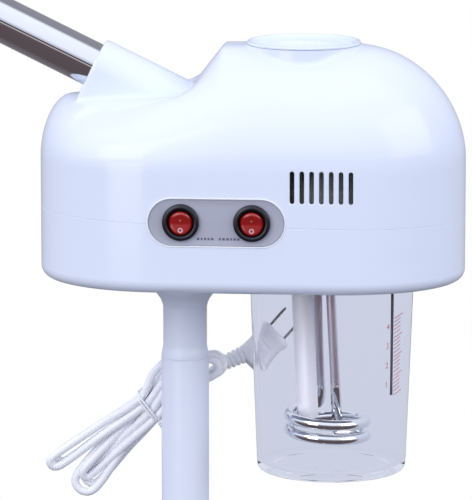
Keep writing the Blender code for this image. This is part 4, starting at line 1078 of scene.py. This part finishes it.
def element_line():
    """The heater's line: down one leg, two turns of the coil, and up the other leg."""
    down = ((82.4, 12, 30), (82.4, 12, 10), (83, 14, -30), (84, 17, -66), (84.4, 20, -78))
    up = ((95.4, 14.4, -97), (94.6, 14.3, -80), (92.6, 13, -40), (90, 12, 10), (90, 12, 30))
    start, sweep = 108, 680
    coil = []
    for way in shares(60):
        turn = radians(start + sweep * way)
        radius = COIL_RADIUS - 9 * MM * smoothstep((way - 0.9) / 0.1)
        z = COIL_TOP - COIL_PITCH * sweep / 360 * way
        coil.append(Vector((COIL_X + radius * cos(turn), radius * sin(turn), z)))
    ends = [[Vector(point) * MM for point in leg] for leg in (down, up)]
    return smooth_line(ends[0] + coil + ends[1], 2.2 * MM)


def make_heater():
    line = element_line()
    radii = []
    for point in line:
        leg = clamp01((point.z - LEG_TAPER_LOW) / LEG_TAPER)
        radii.append(ELEMENT_RADIUS - 0.25 * MM * smoothstep(leg))
    bm = bmesh.new()
    add_rings(bm, sweep_rings(line, radii, 28))
    heater = place("heater_coil", bm, (CHROME, LEG_STEEL), "head", "polished_steel",
                   "heating_element")
    for face in heater.data.polygons:
        face.material_index = int(face.center.z > HEAD_Z + LEG_FOOT)

    top, low = Vector((72.3, 3, 24)) * MM, Vector((77.4, 4, -90)) * MM
    length = (top - low).length / MM
    profile = [(4.8, 0.3), (5.1, 0, 0.2), (6.8, 0, 0.5), (6.8, length), (4.8, length)]
    lathe("feed_tube", profile, TUBE, "head", "white_shell", "level_tube", 64, True,
          HEAD @ facing(low, top - low))


# --- steam arm and nozzle ---


def make_arm():
    """The chromed tube and the hollow elbow at its end. Returns where the elbow ends."""
    inner, outer, length = ARM_BORE / MM, ARM_RADIUS / MM, ARM_LENGTH / MM
    profile = [(inner, -ARM_INSERT / MM), (outer, -ARM_INSERT / MM, 0.5), (outer, -3.0)]
    profile += [(outer, length, 0.4), (inner, length)]
    lathe("steam_arm_tube", profile, CHROME, "arm", "chrome_tube", "arm_tube", 160, True, ARM)

    start = ARM_LENGTH + GAP
    line = [Vector((0, 0, ARM_LENGTH - back * MM)) for back in (24, 23.4, 18, 17.4, 8)]
    for way in shares(18):
        turn = radians(90 * way)
        drop, reach = ELBOW_BEND * (1 - cos(turn)), ELBOW_BEND * sin(turn)
        line.append(Vector((-drop, 0, start + reach)))
    end = line[-1] - X_AXIS * ELBOW_OUTLET
    line += [end + X_AXIS * 0.8 * MM, end]
    thinner = [0.6, 0, 0] + [0.4] * (len(line) - 4) + [1]
    outside = sweep_rings(line, [ELBOW_RADIUS - less * MM for less in thinner], 64)
    bm = bmesh.new()
    add_rings(bm, outside + sweep_rings(line, SOCKET_BORE, 64)[::-1], closed=True)
    place("arm_elbow", bm, SHELL, "arm", "white_shell", "nozzle_elbow", ARM)
    return end


def make_nozzle(end):
    """A flared nozzle on a sleeve round the elbow, with a drilled guard in its mouth."""
    mouth = ARM @ facing(end, (-1, 0, 0), Z_AXIS)
    sleeve, rim = ELBOW_RADIUS / MM + 0.3, NOZZLE_RADIUS / MM
    profile = [(sleeve, -16), (sleeve + 2.6, -16, 1.0), (sleeve + 2.6, -11, 0.3)]
    profile += [(sleeve + 2.0, -10.6, 0.2), (sleeve + 2.0, -9.6, 0.2), (sleeve + 2.6, -9.2, 0.3)]
    profile += [(sleeve + 2.6, 3, 6), (rim - 1, 44, 8), (rim, 50, 1.2), (rim - 3, 50, 0.6)]
    profile += [(rim - 3, 46), (rim - 5.2, 44, 2), (sleeve - 2, 3, 4), (sleeve - 2, 0.3)]
    profile += [(sleeve, 0.3)]
    lathe("steam_nozzle", profile, SHELL, "nozzle", "white_shell", "nozzle", 128, True, mouth,
          steps=5)

    guard = shifted(mouth, z=46.3 * MM)
    disc = lathed_tool("nozzle_guard", turned([(0, 0), (29.4, 0, 0.3), (29.4, 1.6, 0.5), (0, 1.6)]),
                       guard)
    cuts = bmesh.new()
    for ring, count in ((0, 1), (12 * MM, 6), (22 * MM, 8)):
        for x, y in circle(ring, count):
            add_lathe(cuts, rod(3.6, -2, 4), 32, at=shifted(guard, x, y))
    combine(disc, [bare("guard_cuts", cuts)])
    dress(disc, DARK, "nozzle", "nozzle_grille")


# --- neck, pole and base ---


def make_neck():
    """The flared neck under the head, with its spigot in the pole and its flanges in the shell."""
    fit = NECK_LOW / MM + 0.12
    profile = [(10, -90), (12.2, -90, 0.8), (12.5, -88), (12.5, fit), (14.95, fit, 0.1)]
    profile += [(14.7, fit + 3, 4), (13.8, fit + 7, 8), (13.8, -19, 6), (15.4, -14.5, 4)]
    profile += [(19.2, -9.5, 3), (19.2, -0.3, 0.3), (15.7, -0.3), (15.7, 2.8)]
    profile += [(23, 2.8, 0.3), (23, 6, 0.3), (15.7, 6), (15.7, 23.7), (10, 23.7)]
    lathe("head_neck", profile, PAINT, "head", "white_shell", "pole_neck", 96, True, steps=6)


def make_pole():
    """The two tubes of the pole, the clamp collar with its boss, and the lobed knob."""
    top, upright = (HEAD_Z + NECK_LOW) / MM, Matrix()
    tube = [(12.8, 160), (15, 160, 0.4), (15, top, 0.15), (12.8, top, 0.3)]
    lathe("mast_tube", tube, PAINT, "mast", "white_paint", "inner_pole", 96, True, upright,
          steps=4)
    tube = [(17.3, 12.3), (19, 12.3, 0.3), (19, 425, 0.4), (17.3, 425)]
    lathe("lower_pole_tube", tube, PAINT, "base", "white_paint", "outer_pole", 96, True, upright)

    grip, step_up = 19.3, 430.3
    collar = [(grip, 386), (24, 386, 0.6), (26, 390, 2)]
    for groove in (398, 426):
        collar += [(26, groove, 0.3), (25.2, groove + 0.6, 0.2), (25.2, groove + 2, 0.2)]
        collar += [(26, groove + 2.6, 0.3)]
    collar += [(26, 432, 3), (19, 440, 1.2), (15.6, 440, 0.3), (15.6, step_up), (grip, step_up)]
    bm = bmesh.new()
    add_lathe(bm, turned(collar, 4), 96, True)
    body = bare("height_collar", bm)
    axis = facing((0, 0, 405 * MM), (-1, 0, 0), Y_AXIS)
    boss = turned([(0, 20.5), (12, 20.5), (12, 33, 2), (10, 38, 1), (0, 38)], 4)
    combine(body, [lathed_tool("boss", boss, axis, 64)], "UNION")
    combine(body, [lathed_tool("hole", rod(4.3, 15, 45), axis, 32),
                   lathed_tool("bore", rod(grip, 380, step_up), upright)])
    dress(body, DARK, "base", "clamp_collar")

    lobes = []
    for step in range(120):
        turn = tau * step / 120
        reach = 17.5 + 2.5 * cos(5 * turn)
        lobes.append((reach * cos(turn), reach * sin(turn)))
    bm = bmesh.new()
    levels = edged(39, 55, 2.2, 5) + mm([(6, 55), (6.6, 54.4), (9, 54.2)])
    add_prism(bm, mm(lobes), levels, axis)
    stud = mm([(0, 19.6), (3.6, 19.6), (4, 20.4), (4, 42), (0, 42)])
    add_lathe(bm, stud, 32, at=axis, mat=1)
    place("clamp_knob", bm, [DARK, STEEL], "knob", "dark_plastic", "height_knob", Matrix())


def leg_frames():
    for leg in range(LEG_COUNT):
        yield leg + 1, Matrix.Rotation(radians(-90 + 360 * leg / LEG_COUNT), 4, "Z")


def make_star_base():
    """Five tapered legs that run out of a round hub, softened where they meet."""
    hub = [(0, 0), (43, 0, 1), (45, 2, 1.5), (45, 32, 6), (38, 44, 4), (27, 47, 2), (25, 52, 1.5)]
    tip = turned([(0, -12), (17, -12, 1), (17, 6, 2), (13, 12, 2), (0, 12)], 4)
    bm, holes = bmesh.new(), bmesh.new()
    add_lathe(bm, turned(hub + [(0, 52)], 5), 96)
    for _, spin in leg_frames():
        rings = []
        for way in shares(12):
            x, half = 20 + (LEG_REACH / MM - 22) * way, 17 - 5 * way
            low, high = 2 - 13 * smoothstep(way), 44 - 33 * way ** 0.92
            ring = []
            for turn in range(28):
                side, up = squarish(tau * turn / 28, half, (high - low) / 2, 0.5)
                ring.append(spin @ (Vector((x, side, (high + low) / 2 + up)) * MM))
            rings.append(ring)
        add_rings(bm, rings)
        spot = shifted(spin, LEG_REACH)
        add_lathe(bm, tip, 48, at=spot)
        add_lathe(holes, rod(6.1, -14, 6.5), 24, at=spot)
    base = bare("five_leg_base", bm)
    melt(base, 1.8 * MM, 4)
    socket = rod((OUTER_POLE_RADIUS + GAP) / MM, 12, 60)
    screw = facing((0, 0, 30 * MM), (0, 1, 0))
    combine(base, [bare("stem_holes", holes), lathed_tool("pole_socket", socket, Matrix()),
                   lathed_tool("screw_hole", rod(3.3, 15, 60), screw, 24)])
    dress(base, PAINT, "base", "star_base", 30)


def make_casters():
    """Each caster is a hooded fork on a stem, an axle with domed ends and a two-part wheel."""
    top = -12.3
    sides = [(-11, 0, 3), (11, 0, 4), (27, -28, 8), (28, -38, 4), (22, -45, 4), (13, -45, 4)]
    sides += [(8, -36, 5), (-11, -8, 3)]
    outline = mm([(x, y + top) for x, y in rounded(sides, 5)])
    stem = turned([(0, top - 3), (5.5, top - 3), (5.5, 5.2, 0.8), (0, 5.5)])
    pin = [(0, -11.6), (2.5, -11.6, 0.8), (2.5, 11.6, 0.8), (0, 11.6)]
    tread = [(19.5, -7), (24, -7.6, 1.2), (25, -5, 2), (25, 5, 2), (24, 7.6, 1.2), (19.5, 7)]
    core = [(2.9, -8), (6, -8, 0.4), (7, -6, 0.6), (17, -4.5, 1), (18.5, -7.5, 0.6)]
    core += [(19.6, -7.5, 0.3)]
    core += [(radius, -z, *soft) for radius, z, *soft in reversed(core)]
    for number, spin in leg_frames():
        spot = shifted(spin, LEG_REACH)
        flat = spot @ Matrix.Rotation(pi / 2, 4, "X")
        fork = prism_tool(f"caster_fork_body_{number}", outline, edged(-12, 12, 1.2), flat)
        combine(fork, [lathed_tool("stem", stem, spot, 32)], "UNION")
        axle = spot @ facing((18 * MM, 0, FLOOR_Z + 25 * MM), (0, 1, 0))
        combine(fork, [lathed_tool("slot", rod(28, -8.8, 8.8), axle, 64),
                       lathed_tool("hole", rod(2.8, -20, 20), axle, 24)])
        dress(fork, CASTER, f"caster_{number}", f"caster_fork_{number}", 30)
        lathe(f"caster_pin_{number}", pin, STEEL, f"caster_{number}", "steel",
              f"caster_axle_{number}", 32, at=axle, steps=4)
        bm = bmesh.new()
        add_lathe(bm, turned(tread, 4), 96, True, axle)
        add_lathe(bm, turned(core), 96, True, axle, 1)
        place(f"caster_tyre_{number}", bm, [TREAD, CASTER], f"wheel_{number}", "wheel_tread",
              f"caster_wheel_{number}", Matrix())


# --- the whole scene ---


def build():
    make_camera()
    make_cord()
    make_stage()
    finish_nodes()
    make_upper_shell()
    make_lower_shell()
    make_lid()
    make_panel()
    make_switch("ozone", -1)
    make_switch("power", 1)
    make_jar()
    make_lock_ring()
    make_heater()
    make_nozzle(make_arm())
    make_neck()
    make_pole()
    make_star_base()
    make_casters()


build()
